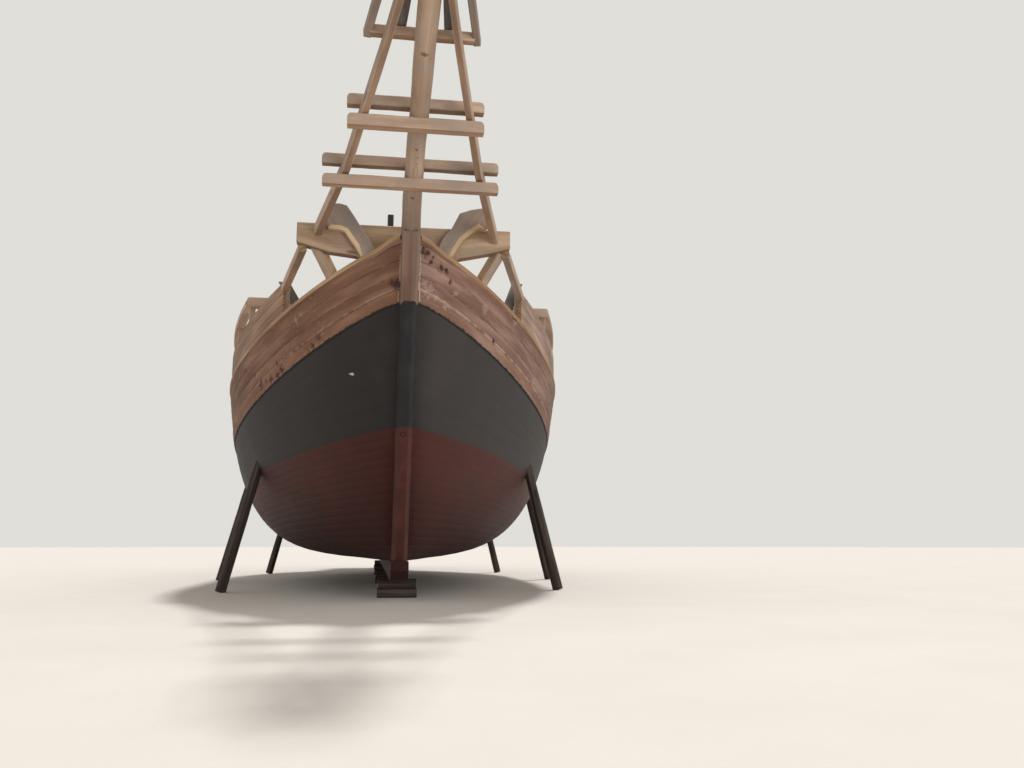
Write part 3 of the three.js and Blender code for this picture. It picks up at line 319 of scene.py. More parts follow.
# %% Wood
def knot_tint(dark):
    return (*[0.35 * c for c in tint(*dark)[:3]], 1)


def wood(name, dark, mid, light, board_length=60.0, seam=0.0, seam_dark=None, putty=0.0, grey=None,
         grey_share=0.0, knots=0.5, relief=0.0025, rough=(0.68, 0.86), tone_spread=0.35, streaks=6.0):
    t = Shader(name)
    uv, place = t.board(), t.place()
    u, v, _ = t.axes(uv)
    number = t.math("FLOOR", v)
    across = t.minus(t.math("FRACT", v), 0.5)
    shift = t.times(t.chance(t.joined(number, 3.7)), board_length)
    reach = t.math("DIVIDE", t.math("ADD", u, shift), board_length)
    own = t.joined(number, t.math("FLOOR", reach))
    grain_at = t.node("ShaderNodeVectorMath", {0: uv, 1: t.stretched(own, (13.1, 0.0, 7.7))}, operation="ADD")
    fine = t.noise(grain_at, 1.0, 5.0, 0.62, (2.6, 85.0, 1.0))
    streak = t.noise(grain_at, 1.0, 3.0, 0.5, (0.7, streaks, 1.0))
    depth = t.math("MULTIPLY_ADD", fine, 0.5, t.times(streak, 0.5))
    colour = t.mix(t.between(depth, 0.36, 0.62), dark, mid)
    colour = t.tinge(colour, t.between(streak, 0.46, 0.72), 0.75, light)
    tone = t.times(t.minus(t.chance(own), 0.5), tone_spread)
    broad = t.times(t.minus(t.noise(place, 0.9, 3.0, 0.6), 0.5), 0.7)
    bright = t.math("ADD", 1.0, t.math("ADD", tone, broad))
    colour = t.mix(1.0, colour, t.joined(bright, bright, bright), "MULTIPLY")
    if grey_share:
        weather = t.between(t.noise(place, 1.7, 4.0, 0.65), 0.62 - 0.3 * grey_share, 0.9 - 0.3 * grey_share)
        colour = t.tinge(colour, weather, t.math("MULTIPLY_ADD", fine, 0.6, 0.4), grey)
    height = t.times(fine, 0.6)
    if knots:
        spots = t.stretched(grain_at, (1.25, 5.5, 1.0))
        distance, _, where = t.made("ShaderNodeTexVoronoi", {"Vector": spots, "Scale": 1.0})[:3]
        picked = t.math("GREATER_THAN", t.chance(where), 1 - knots * 0.45)
        knot = t.times(picked, t.between(distance, 0.16, 0.07))
        colour = t.tinge(colour, knot, 0.8, knot_tint(dark))
        height = t.minus(height, t.times(knot, 0.4))
    if seam:
        butt = t.times(t.math("PINGPONG", reach, 0.5), board_length)
        beside = t.between(t.math("ABSOLUTE", across), seam * 1.25, seam * 0.75)
        gap = t.math("MAXIMUM", beside, t.between(butt, seam, seam * 0.6))
        patchy = t.between(t.noise(place, 3.1, 4.0, 0.7), 0.5 - 0.3 * putty, 0.62 - 0.3 * putty)
        filler = t.tinge(seam_dark, patchy, min(1.0, putty * 2), (196, 176, 150))
        colour = t.tinge(colour, gap, 0.85, filler)
        height = t.minus(height, gap)
    if putty:
        near = t.between(t.noise(grain_at, 1.0, 5.0, 0.7, (1.6, 5.0, 1.0)), 0.6, 0.78)
        smear = t.times(near, t.between(t.noise(place, 14.0, 4.0, 0.8), 0.4, 0.66))
        colour = t.tinge(colour, smear, putty, (186, 166, 146))
    roughness = t.math("MULTIPLY_ADD", fine, rough[1] - rough[0], rough[0])
    return t.set(Base_Color=colour, Roughness=roughness, Normal=t.bump(height, relief),
                 Specular_IOR_Level=0.3)


def end_grain(name, dark, light):
    """Sawn ends: growth rings round a heart, with short checks."""
    t = Shader(name)
    place = t.place()
    inputs = {"Vector": place, "Scale": 9.0, "Distortion": 5.0, "Detail": 3.0}
    rings = t.node("ShaderNodeTexWave", inputs, out=1, wave_type="RINGS")
    share = t.math("MULTIPLY_ADD", rings, 0.5, t.times(t.noise(place, 30.0, 4.0, 0.7), 0.5))
    return t.set(Base_Color=t.mix(share, dark, light), Roughness=0.9, Normal=t.bump(share, 0.003)).material


print("knots in the hewn wood, linear:", [round(c, 3) for c in knot_tint((152, 130, 112))[:3]])

# %% The woods
SEAMED = dict(seam=0.006, knots=0.25, board_length=5.2, tone_spread=0.16, streaks=5.0, relief=0.0014)
stained = wood("stained planks", (106, 73, 57), (127, 93, 73), (142, 108, 88), seam_dark=(82, 56, 44),
               putty=0.12, **SEAMED)
# A lighter copy of the stained planks for the port side: painted light, for the brighter light that falls on
# that side.
port_lit_stained = wood("stained planks, dusty", (110, 80, 68), (134, 106, 93), (150, 122, 110),
                     seam_dark=(88, 62, 52), putty=0.2, **SEAMED)
pale_stained = wood("raised planks", (118, 91, 73), (141, 113, 94), (158, 131, 111), knots=0.4,
                    board_length=3.8).material
# A lighter copy of the raised planks for the port side: painted light, as above.
port_lit_raised = wood("raised planks, dusty", (138, 112, 98), (168, 142, 127), (184, 160, 146), knots=0.3,
                  board_length=3.8, streaks=5.0, relief=0.0016).material
weathered = wood("weathered board", (84, 78, 76), (112, 106, 104), (128, 122, 120), knots=0.2,
                 streaks=16.0).material
cap_wood = wood("pale cap rail", (140, 111, 82), (164, 135, 104), (182, 155, 122), board_length=4.2,
                knots=0.3, relief=0.002).material
hewn = wood("hewn timber", (152, 130, 112), (173, 149, 130), (188, 165, 144), knots=0.8,
            grey=(146, 132, 123), grey_share=0.7, relief=0.003).material
beam_wood = wood("head beam timber", (150, 122, 97), (178, 150, 122), (194, 169, 141), knots=1.0,
                 grey=(150, 135, 121), grey_share=0.6, relief=0.003, streaks=8.0).material
# A darker copy of the hewn timber: painted shade on the undersides of beams, spars and rails; the pegs and
# the roof's carlines use it as their own colour.
brown_hewn = wood("hewn timber, shaded side", (124, 99, 80), (148, 120, 99), (163, 135, 111),
                  knots=0.6).material
grey_hewn = wood("old knee timber", (126, 109, 96), (148, 130, 117), (162, 144, 129),
                 grey=(124, 114, 110), grey_share=0.7, relief=0.003).material
fresh = wood("fresh timber", (168, 141, 110), (192, 165, 132), (208, 183, 150), relief=0.003).material
deck_wood = wood("deck planks", (130, 112, 90), (150, 132, 108), (164, 147, 122), board_length=5.0,
                 knots=0.3, relief=0.002, streaks=8.0, tone_spread=0.3).material
dark_wood = wood("old dark timber", (42, 34, 30), (66, 56, 50), (88, 76, 66), knots=0.4, relief=0.004,
                 streaks=16.0).material
heart = end_grain("sawn ends", (104, 80, 58), (160, 130, 100))
print("woods:", cap_wood.name, hewn.name, fresh.name, heart.name)

# %% [markdown]
# ## Paint on planks
# Paint hides the grain but not the planks: seams show as faint lines, the brush leaves streaks along the
# strakes, and weather leaves chalky and dusty patches. The same board map drives the seams.


# %% Paint
def paint(name, base, faded, dirt, seam=0.010, relief=0.0022):
    t = Shader(name)
    uv, place = t.board(), t.place()
    beside = t.math("ABSOLUTE", t.minus(t.math("FRACT", t.axes(uv)[1]), 0.5))
    strokes = t.noise(uv, 1.0, 5.0, 0.6, (1.2, 26.0, 1.0))
    cloud = t.noise(place, 0.75, 5.0, 0.62)
    gap = t.between(beside, seam * 1.3, seam * 0.6)
    colour = t.mix(t.between(cloud, 0.38, 0.72), base, faded)
    colour = t.tinge(colour, t.between(strokes, 0.45, 0.75), 0.3, faded)
    colour = t.tinge(colour, t.between(t.noise(place, 46.0, 3.0, 0.7), 0.6, 0.75), 0.35, dirt)
    patch = t.times(gap, t.between(t.noise(place, 1.9, 3.0, 0.6), 0.42, 0.62))
    colour = t.tinge(colour, patch, 0.25, dirt)
    height = t.minus(t.times(strokes, 0.4), t.times(gap, 0.3))
    rough = t.math("MULTIPLY_ADD", cloud, 0.25, 0.5)
    return t.set(Base_Color=colour, Roughness=rough, Normal=t.bump(height, relief), Specular_IOR_Level=0.2)


X_AXIS, Y_AXIS, Z_AXIS = 0, 1, 2


def toned(t, axis, start, end, share, tone):
    """The shader with its base colour drawn towards a tone, more and more from start to end on an axis."""
    along = t.between(t.axes(t.place())[axis], start, end)
    return t.set(Base_Color=t.tinge(t.colour(), along, share, tone))


# Both paints are drawn lighter towards port: painted light, for the brighter light on the port side.
grey_paint = toned(paint("dark grey paint", (38, 35, 35), (50, 46, 44), (27, 25, 25)),
                   X_AXIS, 0.0, 0.5, 0.11, (120, 114, 112))
red_paint = toned(paint("red antifouling", (62, 26, 22), (77, 36, 29), (40, 20, 18)),
                  X_AXIS, 0.0, 0.5, 0.06, (140, 100, 92))
# The red is drawn darker towards the keel: painted shade low under the hull.
red_paint = toned(red_paint, Z_AXIS, 2.1, 0.9, 0.55, (30, 14, 12)).material
sprit_wood = wood("bowsprit timber", (150, 126, 106), (172, 147, 126), (188, 163, 141),
                  grey=(150, 138, 130), grey_share=0.7, relief=0.003)
sprit_wood = toned(sprit_wood, Y_AXIS, -10.6, -8.9, 0.6, (100, 82, 74))
print("paints:", grey_paint.material.name, red_paint.name)

# %% [markdown]
# ## Marks of use, and painted shade
# Tar has run from the lowest seam, putty fills old bolt holes, and the grey paint was cut in by hand. Each
# mark is a ragged blot round a point of the hull, and so is each broad blot of painted shade; the paint's
# edge and the putty lines read the board map, because they follow the planks.

# %% Places of the marks
TAR = {
    # x, s, z, radius
    "starboard": [(-2.4, 3.64, 3.62, 0.07), (-2.19, 3.19, 3.65, 0.051), (-2.05, 2.93, 3.66, 0.05),
                  (-1.97, 2.75, 3.73, 0.05), (-2.08, 2.87, 3.87, 0.033), (-2.78, 4.29, 3.96, 0.036),
                  (-2.55, 3.83, 3.84, 0.028), (-2.29, 3.39, 3.65, 0.034), (-1.31, 1.61, 4.05, 0.054),
                  (-1.43, 1.81, 3.95, 0.047), (-1.5, 1.93, 3.91, 0.032), (-0.18, 0.25, 4.56, 0.057),
                  (-0.25, 0.27, 4.6, 0.029)],
    "port": [(0.18, 0.05, 5.03, 0.043), (0.24, 0.1, 5.0, 0.043), (0.3, 0.18, 4.9, 0.026),
             (0.33, 0.18, 4.96, 0.022), (0.46, 0.32, 4.86, 0.044), (0.54, 0.4, 4.84, 0.037),
             (0.59, 0.51, 4.69, 0.03), (1.41, 1.71, 4.11, 0.035)],
}
PUTTY = {
    "starboard": [(-1.8, 2.36, 3.92, 0.041), (-1.72, 2.0, 4.39, 0.048), (-2.13, 2.61, 4.51, 0.041),
                  (-1.65, 1.86, 4.47, 0.04)],
    "port": [(0.55, 0.62, 4.36, 0.059), (0.3, 0.35, 4.52, 0.073), (0.4, 0.45, 4.45, 0.044),
             (1.83, 2.11, 4.52, 0.058), (1.91, 2.17, 4.66, 0.05), (1.22, 1.26, 4.53, 0.055),
             (2.38, 3.51, 3.76, 0.054), (0.7, 0.66, 4.58, 0.037), (0.23, 0.26, 4.59, 0.043)],
}
# Broad dark blots over the bulwarks: painted shade.
PAINTED_SHADE_BLOTS = {"starboard": [(-3.0, 5.2, 3.9, 1.5)], "port": [(3.3, 9.0, 4.0, 0.8)]}
BLOT_LAYERS = [
    # places, spread, amount, tone
    (PUTTY, 1.5, 0.33, (178, 162, 148)),
    (TAR, 2.1, 0.3, (84, 54, 44)),
    (TAR, 1.35, 0.92, (58, 36, 32)),
    # Painted shade: the broad dark blots.
    (PAINTED_SHADE_BLOTS, 1.0, 0.3, (62, 46, 38)),
]
PAINT_CHIP = [(-0.84, 1.38, 3.443, 0.015), (-0.815, 1.355, 3.437, 0.018), (-0.79, 1.33, 3.43, 0.018),
              (-0.765, 1.305, 3.422, 0.014)]
SPRIT_KNOTS = [(-0.02, -3.39, 6.06, 0.03), (-0.03, -0.98, 5.39, 0.03), (-0.016, -1.91, 5.65, 0.02),
               (0.0, -1.77, 5.61, 0.015), (0.0, -1.64, 5.575, 0.02)]
NUMBERS_A_SIDE = 20
print("marks:", sum(len(rows) for table in (TAR, PUTTY) for rows in table.values()))


# %% Ragged blots
def blots(t, places, spread=1.0):
    """1 within a ragged edge of any of the points, 0 outside."""
    place = t.place()
    ragged = t.minus(t.noise(place, 17.0, 5.0, 0.75), 0.5)
    mask = 0.0
    for x, s, z, radius in places:
        distance = t.away_from((x, s + STEM_HEAD_Y, z), place)
        away = t.math("MULTIPLY_ADD", ragged, radius * spread * 5, distance)
        mask = t.math("MAXIMUM", mask, t.between(away, radius * spread, radius * spread * 0.5))
    return mask


def marked(t, side, lines):
    """Bulwark planks with tar, putty, a ragged paint edge, light lines at the wale and the stem, and broad
    blots of painted shade.
    """
    place = t.place()
    from_stem, v, _ = t.axes(t.board())
    strake = t.math("MODULO", t.math("FLOOR", v), NUMBERS_A_SIDE)
    lowest = t.math("COMPARE", strake, 0.0, 0.1)
    height = t.minus(t.math("FRACT", v), 0.5)
    patchy = t.between(t.noise(place, 4.0, 4.0, 0.7), 0.36, 0.56)
    over_wale = t.times(t.math("COMPARE", strake, 1.0, 0.1), t.between(height, 0.05, 0.03))
    at_stem = t.between(t.math("MULTIPLY_ADD", patchy, 0.012, from_stem), 0.045, 0.025)
    line = t.math("MAXIMUM", t.times(over_wale, lines), t.times(at_stem, min(1, 1.6 * lines)))
    colour = t.tinge(t.colour(), line, patchy, (188, 164, 142))
    wale = t.times(lowest, t.between(t.noise(place, 1.3, 4.0, 0.7), 0.3, 0.6))
    colour = t.tinge(colour, wale, 0.25, (134, 96, 70))
    for places, spread, amount, tone in BLOT_LAYERS:
        colour = t.tinge(colour, blots(t, places[side], spread), amount, tone)
    ragged = t.math("MULTIPLY_ADD", t.noise(place, 13.0, 5.0, 0.8), 0.13, -0.035)
    cut_in = t.times(lowest, t.between(t.minus(height, ragged), 0.004, -0.004))
    return t.set(Base_Color=t.mix(cut_in, colour, (44, 41, 40))).material


def blotted(t, places, spread, amount, tone):
    return t.set(Base_Color=t.tinge(t.colour(), blots(t, places, spread), amount, tone)).material


bulwark_woods = {"starboard": marked(stained, "starboard", 0.3), "port": marked(port_lit_stained, "port", 0.6)}
grey_paint = blotted(grey_paint, PAINT_CHIP, 1.0, 1.0, (196, 190, 180))
sprit_wood = blotted(sprit_wood, SPRIT_KNOTS, 1.2, 0.75, (82, 58, 46))
print("bulwark woods:", [material.name for material in bulwark_woods.values()])

# %% [markdown]
# ## Lofts
# Most pieces are lofts: one outline drawn many times along a path and skinned. A timber's rings are one
# array of sections by points by three. The skin's sides carry the board map, and its two ends are closed
# and get the end grain.


# %% Mesh helpers
def placed(data, name="piece"):
    made = bpy.data.objects.new(name, data)
    bpy.context.scene.collection.objects.link(made)
    return made


def mesh_piece(points, faces, uvs, materials, faces_of_end=()):
    """A closed smooth mesh with the board map; points are [x, s, z]."""
    mesh = bpy.data.meshes.new("piece")
    moved = np.array(points, float).reshape(-1, 3) + (0.0, STEM_HEAD_Y, 0.0)
    mesh.from_pydata(moved.tolist(), [], faces)
    layer = mesh.uv_layers.new(name=BOARD_UV)
    layer.data.foreach_set("uv", np.asarray(uvs, np.float32).ravel())
    for material in materials:
        mesh.materials.append(material)
    mesh.shade_smooth()
    for index in faces_of_end:
        mesh.polygons[index].material_index = 1
        mesh.polygons[index].use_smooth = False
    return placed(mesh)


QUAD = ((0, 0), (1, 0), (1, 1), (0, 1))


def skin_faces(count, across, face_uvs):
    """The faces between closed rings of points, and their board map from face_uvs(ring, place in it)."""
    faces, uvs = [], []
    for i in range(count - 1):
        for a in range(across):
            faces.append(tuple((i + p) * across + (a + q) % across for p, q in QUAD))
            uvs += face_uvs(i, a)
    return faces, uvs


def end_faces(count, across):
    return [tuple(range(across)), tuple((count - 1) * across + a for a in reversed(range(across)))]


def turned(faces, uvs):
    """The same faces, looking the other way."""
    starts = np.cumsum([0] + [len(f) for f in faces])
    return [f[::-1] for f in faces], [uv for a, b in zip(starts, starts[1:]) for uv in uvs[a:b][::-1]]


def sharpened(piece, degrees):
    """Edges that bend more than the angle show as edges."""
    piece.data.set_sharp_from_angle(angle=math.radians(degrees))
    return piece


def join_up(piece, name, slot, *replaced, body="hull"):
    """The piece gets its name, rides on its body, and stands for its CAD nodes; slot is not used."""
    piece.name = piece.data.name = name
    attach(piece, body)
    if replaced:
        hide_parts(*replaced)
    return piece


def hull_stations(count):
    t = np.linspace(0, 1, count + 1)
    return t - 0.07 * np.sin(2 * np.pi * t)


print("stations near the ends and amidships:", hull_stations(6).round(3))

# %% [markdown]
# ## Strakes
# A carvel hull is built of strakes, planks that lie edge to edge from stem to stern, each narrowing as the
# hull does. Box modelling would lose that flow, and a displacement map would not show at the edges, so each
# strake gets its own rows on the hull's rule: a groove, a bevel, a slightly crowned face, and the next
# bevel. Grooves are set in along the surface's normal.

# %% Strake rows
BEVEL = 0.011


def strake_rows(bounds, proud, groove, middles):
    """Rows over the strakes: (share bound, bevel steps from it, offset out, strake number)."""
    rows = []
    for k in range(len(bounds) - 1):
        rows.append((bounds[k], 0, -groove, k))
        rows.append((bounds[k], 1, proud[k], k))
        for m in range(1, middles + 1):
            share = m / (middles + 1)
            crown = 0.0025 * 4 * share * (1 - share)
            rows.append((lerp(bounds[k], bounds[k + 1], share), 0, proud[k] + crown, k))
        rows.append((bounds[k + 1], -1, proud[k], k))
    rows.append((bounds[-1], 0, -groove if groove else 0, len(bounds) - 1))
    return rows


def planked_side(low, high, bounds, proud, groove, middles, stations):
    """Points of the port side, [station, row, 3], with each row's strake number and height in its strake."""
    def at(share):
        row_z = lambda s: lerp(low(s), high(s), share)
        s = station_s(row_z, stations)
        z = row_z(s)
        return np.stack([half_breadth(z, s), s, z], -1)

    coarse = np.stack([at(share) for share in np.linspace(0, 1, 17)])
    girth = np.maximum(0.15, np.linalg.norm(np.diff(coarse, axis=0), axis=-1).sum(0))
    rows, points = strake_rows(bounds, proud, groove, middles), []
    for share, steps, off, _ in rows:
        p = at(share + steps * BEVEL / girth)
        points.append(p + hull_normal(p[:, 2], p[:, 1]) * off)
    points = np.stack(points, 1)
    heights = np.array([r[0] for r in rows]) * girth[:, None] + np.array([r[1] for r in rows]) * BEVEL
    lengths = np.zeros(points.shape[:2])
    lengths[1:] = np.cumsum(np.linalg.norm(np.diff(points, axis=0), axis=-1), axis=0)
    return points, rows, heights, lengths, girth


def side_uvs(rows, heights, lengths, girth, bounds, first, r, i):
    """The board map of the face between rows r and r + 1, stations i and i + 1."""
    k = rows[r + 1][3]
    return [(lengths[i + p, r], first + k + 0.5 + heights[i + p, r + q] - bounds[k] * girth[i + p])
            for p, q in QUAD]


print("rows over one strake:", len(strake_rows([0.0, 1.0], [0.0], 0.0, 2)))


# %% Hull skins
def planked_hull(name, low, high, bounds, groove, middles, count, material, first, slot, replaced):
    """A full-width layer of the hull: port rows up, starboard rows down, and closed all round."""
    stations = hull_stations(count)
    port, rows, *sizes = planked_side(low, high, bounds, [0.0] * len(bounds), groove, middles, stations)
    ring = np.concatenate([port, (port * (-1, 1, 1))[:, ::-1]], 1)
    across, last, side = ring.shape[1], count, len(rows)
    hidden = (0, first + 0.9)

    def face_uvs(i, a):
        if a < side - 1:
            return side_uvs(rows, *sizes, bounds, first, a, i)
        if side <= a < across - 1:
            four = side_uvs(rows, *sizes, bounds, first + 40, across - 2 - a, i)
            return four[::-1]
        return [hidden] * 4

    faces, uvs = skin_faces(count + 1, across, face_uvs)
    for r in range(side - 1):
        m = across - 1 - r
        faces.append((r, r + 1, m - 1, m))
        faces.append((last * across + m, last * across + m - 1, last * across + r + 1, last * across + r))
        uvs += [hidden] * 8
    return join_up(sharpened(mesh_piece(ring, faces, uvs, [material]), 40), name, slot, replaced)


def even(count):
    return [k / count for k in range(count + 1)]


BOTTOM_STRAKES = 15
TOPSIDE_STRAKES = 5
bottom = planked_hull("bottom_strakes", keel_line_z, boot_line_z, even(BOTTOM_STRAKES), 0.0012, 2, 120,
                      red_paint, 0, "red_paint", "bottom_planking")
topsides = planked_hull("topside_strakes", boot_line_z, deck_line_z, even(TOPSIDE_STRAKES), 0.0015, 2, 120,
                        grey_paint, 16, "grey_paint", "side_planking")
print("hull faces:", len(bottom.data.polygons) + len(topsides.data.polygons))

# %% [markdown]
# ## Bulwarks
# Above the deck the planks are bare and stained red-brown. The lowest strake is thicker than the others, as
# a wale, and its upper edge catches the light. The planking is one skin with an inner face, closed under
# the rail.

# %% Bulwark planking
BULWARK_BOUNDS = [0.0, 0.235, 0.475, 0.72, 1.0]
BULWARK_PROUD = [0.016, 0.0, 0.0, 0.0, 0.0]
SKIN_THICK = 0.055
BULWARK_STATIONS = 150


def under_rail_z(s):
    return sheer_z(s) - RAIL.thick / 2


def bulwark_skin(side, label):
    stations = hull_stations(BULWARK_STATIONS)
    outer, rows, heights, lengths, girth = planked_side(
        deck_line_z, under_rail_z, BULWARK_BOUNDS, BULWARK_PROUD, 0.006, 2, stations)
    inner = []
    for share in (1.0, 0.5, 0.0):
        row_z = lambda s: lerp(deck_line_z(s), under_rail_z(s), share)
        x, s = plan_point(row_z, stations, -SKIN_THICK)
        inner.append(np.stack([x, s, row_z(s)], -1))
    ring = np.concatenate([outer, np.stack(inner, 1)], 1) * (side, 1, 1)
    count, across = ring.shape[:2]
    first, skin = 60 if side > 0 else 80, len(rows)

    def face_uvs(i, a):
        if a < skin - 1:
            return side_uvs(rows, heights, lengths, girth, BULWARK_BOUNDS, first, a, i)
        return [(lengths[i + p, skin - 1], first + 10 + 0.25 * (a - skin + q)) for p, q in QUAD]

    faces, uvs = skin_faces(count, across, face_uvs)
    faces += end_faces(count, across)
    uvs += [(0, first + 0.9)] * (2 * across)
    if side < 0:
        faces, uvs = turned(faces, uvs)
    return sharpened(mesh_piece(ring, faces, uvs, [bulwark_woods[label]]), 40)


SIDES = [("port", 1), ("starboard", -1)]
for label, side in SIDES:
    join_up(bulwark_skin(side, label), f"bulwark_strakes_{label}", "stained_wood", f"bulwark_{label}")
print("strakes a side:", len(BULWARK_BOUNDS) - 1)

# %% [markdown]
# ## Lofted timbers
# A beam is a chamfered outline repeated along its length. Sawn timber would be a plain box; these were
# dressed with an adze, so smooth noise shakes each outline a little and the chamfers wander. A timber is a
# few rows of x, s, z, width and height, with straight lines between them.


# %% Timber helpers
def volume_of(points, faces):
    """Six times the signed volume: negative when the faces look inwards."""
    total, centre = 0.0, points.mean(0)
    for face in faces:
        corner = points[list(face)] - centre
        total += np.cross(corner[1:-1], corner[2:]).sum(0) @ corner[0]
    return total


def facing_out(points, faces, uvs):
    return (faces, uvs) if volume_of(points, faces) >= 0 else turned(faces, uvs)


def ring_loft(rings, materials, number=0.0, smooth_angle=32, pale_sides=()):
    """Skins closed outlines of equal count into a closed mesh; pale_sides take the third material."""
    rings = np.asarray(rings, float)
    count, across = rings.shape[:2]
    u = np.concatenate([[0], np.cumsum(np.linalg.norm(np.diff(rings.mean(1), axis=0), axis=-1))])
    v = np.concatenate([[0], np.cumsum(np.linalg.norm(np.roll(rings, -1, 1) - rings, axis=-1).mean(0))])
    v = number + 0.5 + (v - v[-1] / 2) * min(1.0, 0.9 / v[-1])
    faces, uvs = skin_faces(count, across, lambda i, a: [(u[i + p], v[a + q]) for p, q in QUAD])
    faces += end_faces(count, across)
    uvs += [(p[0] * 0.1, number + 0.5 + p[2] * 0.01) for p in np.concatenate([rings[0], rings[-1][::-1]])]
    flat = rings.reshape(-1, 3)
    faces, uvs = facing_out(flat, faces, uvs)
    piece = mesh_piece(flat, faces, uvs, materials, faces_of_end=(len(faces) - 2, len(faces) - 1))
    for i in range(count - 1):
        for a in pale_sides:
            piece.data.polygons[i * across + a].material_index = 2
    return sharpened(piece, smooth_angle)


def chamfered(wide, tall, cut):
    """A timber's outline, [across, up], with its four corners cut off."""
    w, h, c = wide / 2, tall / 2, cut
    return np.array([(w - c, -h), (w, -h + c), (w, h - c), (w - c, h), (c - w, h), (-w, h - c), (-w, c - h),
                     (c - w, -h)])


def along_path(rows, step):
    """The rows at even steps of their length, closer near both ends, and how far along each is."""
    rows = np.asarray(rows, float)
    reach = np.concatenate([[0], np.cumsum(np.linalg.norm(np.diff(rows[:, :3], axis=0), axis=-1))])
    total = reach[-1]
    near = np.array([0.02, 0.05, 0.09])
    at = np.concatenate([np.linspace(0, total, max(4, int(total / step)) + 1), near, total - near, reach])
    at = np.unique(at.clip(0, total).round(5))
    return np.stack([np.interp(at, reach, column) for column in rows.T], -1), at, total


def frames_along(centres, at, across=None, upright=False):
    """At each centre, the direction of a timber's width and of its height."""
    tangents = np.gradient(centres, at, axis=0)
    tangents /= np.linalg.norm(tangents, axis=-1, keepdims=True)
    level = (0, 1, 0) if abs(tangents[0, 2]) > 0.95 else (0, 0, 1)
    sideways = np.cross(tangents, level) if across is None else np.tile(np.array(across, float), (len(at), 1))
    sideways /= np.linalg.norm(sideways, axis=-1, keepdims=True)
    up = np.tile((0.0, 0.0, 1.0), (len(at), 1)) if upright else np.cross(sideways, tangents)
    return sideways, up


def shaken(outline, here, seed, amount):
    """The outline with each corner moved in or out by smooth noise along the timber."""
    moved = outline.copy()
    for k in range(len(outline)):
        slow = noise.noise(Vector((here * 2.3 + seed * 7.1, k * 1.7, seed * 3.3)))
        quick = noise.noise(Vector((here * 9.0 + seed * 5.7, k * 2.9, 40.0 + seed)))
        moved[k] *= 1 + (slow + quick * 0.45) * amount / max(0.02, np.linalg.norm(outline[k]))
    return moved


print("a chamfered outline has", len(chamfered(0.2, 0.1, 0.01)), "corners")

# %% Timbers, logs and merging
TOP_CORNERS = slice(2, 6)
# The side of a chamfered timber that takes the third, darker wood: painted shade on its underside.
SHADED_UNDERSIDES = (7,)


def timber(rows, cut=0.014, shake=0.004, seed=0, end_round=0.0, material=None, step=0.12, across=None,
           upright=False, pale=None, pale_sides=()):
    """A hewn timber through rows of x, s, z, width and height."""
    rows, at, total = along_path(rows, step)
    sideways, up = frames_along(rows[:, :3], at, across, upright)
    rings = []
    for row, side_way, top, here in zip(rows, sideways, up, at):
        outline = shaken(chamfered(row[3], row[4], cut), here, seed, shake)
        close = max(0.0, min(here, total - here))
        if end_round and close < end_round:
            outline[TOP_CORNERS, 1] -= end_round - math.sqrt(end_round ** 2 - (end_round - close) ** 2)
        rings.append(row[:3] + outline[:, :1] * side_way + outline[:, 1:] * top)
    materials = [material or hewn, heart] + ([pale] if pale else [])
    return ring_loft(rings, materials, number=seed + 0.0, pale_sides=pale_sides)


def stick(start, end, wide, tall, **settings):
    """A timber of one section between two points."""
    return timber([(*start, wide, tall), (*end, wide, tall)], **settings)


def log_piece(rows, sides=24, flat=0.6, shake=0.004, seed=0, material=None, step=0.1):
    """A log through rows of x, s, z and radius, hewn to eight sides; flat 0 is round, 1 an octagon."""
    rows, at, _ = along_path(rows, step)
    sideways, up = frames_along(rows[:, :3], at)
    turns = np.linspace(0, 2 * math.pi, sides, endpoint=False)
    corner = math.pi / 8
    shape = math.cos(corner) / np.cos(np.mod(turns, 2 * corner) - corner)
    shape = lerp(1.0, shape / shape.max(), flat)
    rings = []
    for row, side_way, top, here in zip(rows, sideways, up, at):
        outline = np.stack([np.cos(turns), np.sin(turns)], -1) * (row[3] * shape)[:, None]
        outline = shaken(outline, here, seed, shake)
        rings.append(row[:3] + outline[:, :1] * side_way + outline[:, 1:] * top)
    return ring_loft(rings, [material or hewn, heart], number=seed + 0.0, smooth_angle=38)


def merged(pieces):
    """Several separate bodies of one node as one object."""
    slots = list(dict.fromkeys(m for piece in pieces for m in piece.data.materials))
    whole, mesh = bmesh.new(), bpy.data.meshes.new("whole")
    for piece in pieces:
        own = [slots.index(m) for m in piece.data.materials]
        for face in piece.data.polygons:
            face.material_index = own[face.material_index]
        whole.from_mesh(piece.data)
        bpy.data.objects.remove(piece)
    whole.to_mesh(mesh)
    whole.free()
    for material in slots:
        mesh.materials.append(material)
    return sharpened(placed(mesh), 32)


print("the underside of a timber is side", *SHADED_UNDERSIDES)

# %% [markdown]
# ## Stem and stern posts
# The planks end in the sides of the stem. Its face is narrow under water and widens to take the rails. Three
# finishes meet on it, red, grey and bare wood, so its material picks them by height, with a hand-cut edge.

# %% Posts
STEM_BARE_Z = 4.29
STEM_RED_Z = 2.6
RING_MARK_Z = 2.485
RING_MARK = Sizes(at=(-0.02, stem_s(RING_MARK_Z) - STEM.depth + STEM_HEAD_Y, RING_MARK_Z), radius=0.036,
                  stroke=0.012)
POST_CHAMFER = 0.012


